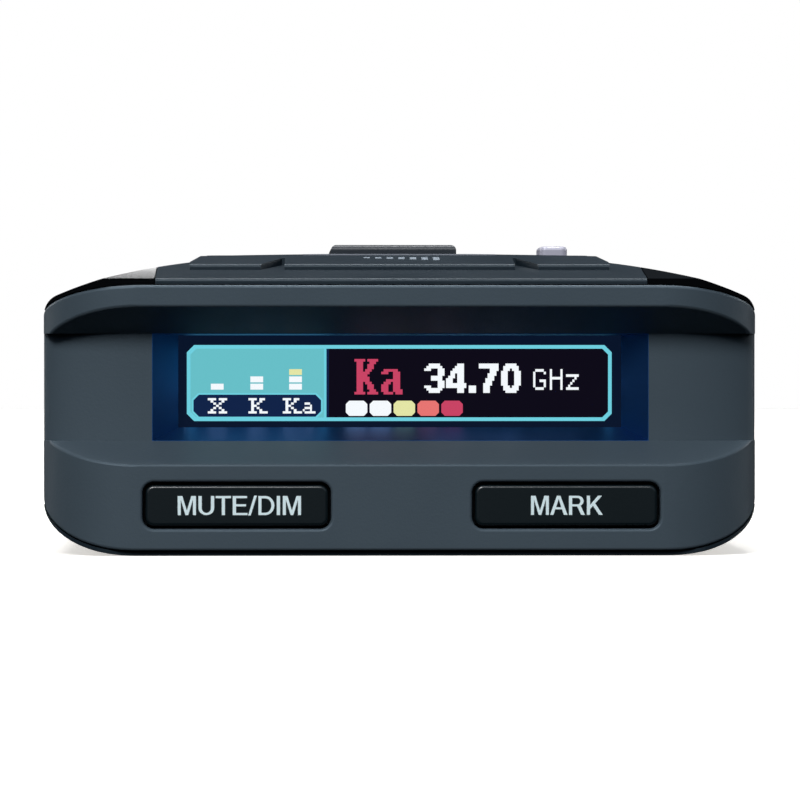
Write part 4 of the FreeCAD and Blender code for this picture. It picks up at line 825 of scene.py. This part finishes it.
softboxes = {
    # place and target in metres, size in metres, power in watts
    "keySoftbox": {"place": (-0.3, -1.15, 0.9), "target": (0, -0.05, 0.015), "size": 0.42, "power": 12},
    "overheadSoftbox": {"place": (0.0, 0.08, 1.0), "target": (0, -0.03, 0.02), "size": 0.4, "power": 7},
    "farSideSoftbox": {"place": (-1.0, 0.75, 0.5), "target": (0, 0, 0.02), "size": 0.5, "power": 5},
    "rightSideSoftbox": {"place": (1.1, 0.45, 0.45), "target": (0, 0, 0.02), "size": 0.5, "power": 4},
    "cornerSoftbox": {"place": (-0.38, -1.05, 0.75), "target": (0, -0.05, 0.02), "size": 0.3, "power": 3.5},
    # a small lamp whose only job is the highlight on the left shoulder
    "leftGlint": {
        "place": (-0.055, 0.95, 0.262), "target": (-0.026, -0.05, 0.027), "size": 0.024, "power": 0.006,
    },
}


def areaLight(name, s):
    light = bpy.data.lights.new(name, "AREA")
    light.size = s["size"]
    light.energy = s["power"]
    obj = bpy.data.objects.new(name, light)
    obj.location = s["place"]
    aim = Vector(s["target"]) - Vector(s["place"])
    obj.rotation_euler = aim.to_track_quat("-Z", "Y").to_euler()
    bpy.context.scene.collection.objects.link(obj)


def spread(tree, value, start, end, low, high):
    # value from start..end becomes low..high, where either may be another socket
    node = addNode(tree, "ShaderNodeMapRange", {"From Min": start, "From Max": end}, {"Value": value})
    for name, given in (("To Min", low), ("To Max", high)):
        if isinstance(given, bpy.types.NodeSocket):
            tree.links.new(given, node.inputs[name])
        else:
            node.inputs[name].default_value = given
    return node.outputs["Result"]


def makeWorld():
    # bright above and behind the camera, dim at the far horizon, dark below: tops and undersides stay deep
    s = studio
    world = bpy.data.worlds.new("studioAir")
    world.use_nodes = True
    tree = world.node_tree
    tree.nodes.clear()
    place = addNode(tree, "ShaderNodeTexCoord")
    split = addNode(tree, "ShaderNodeSeparateXYZ", None, {"Vector": place.outputs["Generated"]})
    horizon = spread(tree, split.outputs["Y"], *s["frontToFar"], s["front"], s["far"])
    sky = spread(tree, split.outputs["Z"], *s["horizonToAbove"], horizon, s["above"])
    level = spread(tree, split.outputs["Z"], *s["belowToSky"], s["below"], sky)
    air = addNode(tree, "ShaderNodeBackground", {"Color": linear(s["skyColour"])}, {"Strength": level})
    addNode(tree, "ShaderNodeOutputWorld", None, {"Surface": air.outputs["Background"]})
    bpy.context.scene.world = world


def stageSheet(name, size, turn, place, material):
    # a square sheet of the studio, seen by the camera; it neither lights the object nor is mirrored in it
    bm = bmesh.new()
    bmesh.ops.create_grid(bm, x_segments=1, y_segments=1, size=size / 2)
    bmesh.ops.rotate(bm, verts=bm.verts, cent=(0, 0, 0), matrix=Matrix.Rotation(turn, 3, "X"))
    bmesh.ops.translate(bm, verts=bm.verts, vec=place)
    mesh = bpy.data.meshes.new(name)
    bm.to_mesh(mesh)
    bm.free()
    mesh.materials.append(material)
    sheet = bpy.data.objects.new(name, mesh)
    bpy.context.scene.collection.objects.link(sheet)
    sheet.visible_diffuse = False
    sheet.visible_glossy = False
    sheet.visible_shadow = False


def makeFloor():
    s = studio
    paint, tree, shader = startMaterial("matFloorPaint", {
        "Base Color": linear(s["floorColour"]), "Roughness": s["floorRoughness"],
        "Emission Color": linear(s["floorColour"]), "Emission Strength": s["floorLift"],
    })
    stageSheet("floor", s["floorSize"], 0, (0, 0, cadBox[0][2] - 0.02 * mm), paint)


def makeBackdrop():
    s = studio
    paper = makeGlow("backlitBackdropPaper", s["backdropColour"], 1.0)
    stageSheet("backdrop", s["backdropSize"], math.pi / 2, (0, s["backdropBack"], 0), paper)


makeWorld()
makeFloor()
makeBackdrop()
for name, s in softboxes.items():
    areaLight(name, s)


# the camera stands beyond the display end, a little left of and above the middle
cameraSetup = {
    "x": -12.0, "back": 500.0, "z": 20.0, "lens": 231.9, "sensor": 36, "yaw": 1.356, "pitch": 0.557,
}


def makeCamera():
    s = cameraSetup
    data = bpy.data.cameras.new("viewpoint")
    data.lens = s["lens"]
    data.sensor_width = s["sensor"]
    data.clip_start = 0.01
    data.clip_end = 20
    camera = bpy.data.objects.new("viewpoint", data)
    camera.location = (s["x"] * mm, cadBox[0][1] - s["back"] * mm, cadBox[0][2] + s["z"] * mm)
    camera.rotation_euler = (math.radians(90 - s["pitch"]), 0, math.radians(-s["yaw"]))
    bpy.context.scene.collection.objects.link(camera)
    bpy.context.scene.camera = camera


makeCamera()
bpy.context.scene.view_settings.view_transform = "Standard"
print("studio and camera set")
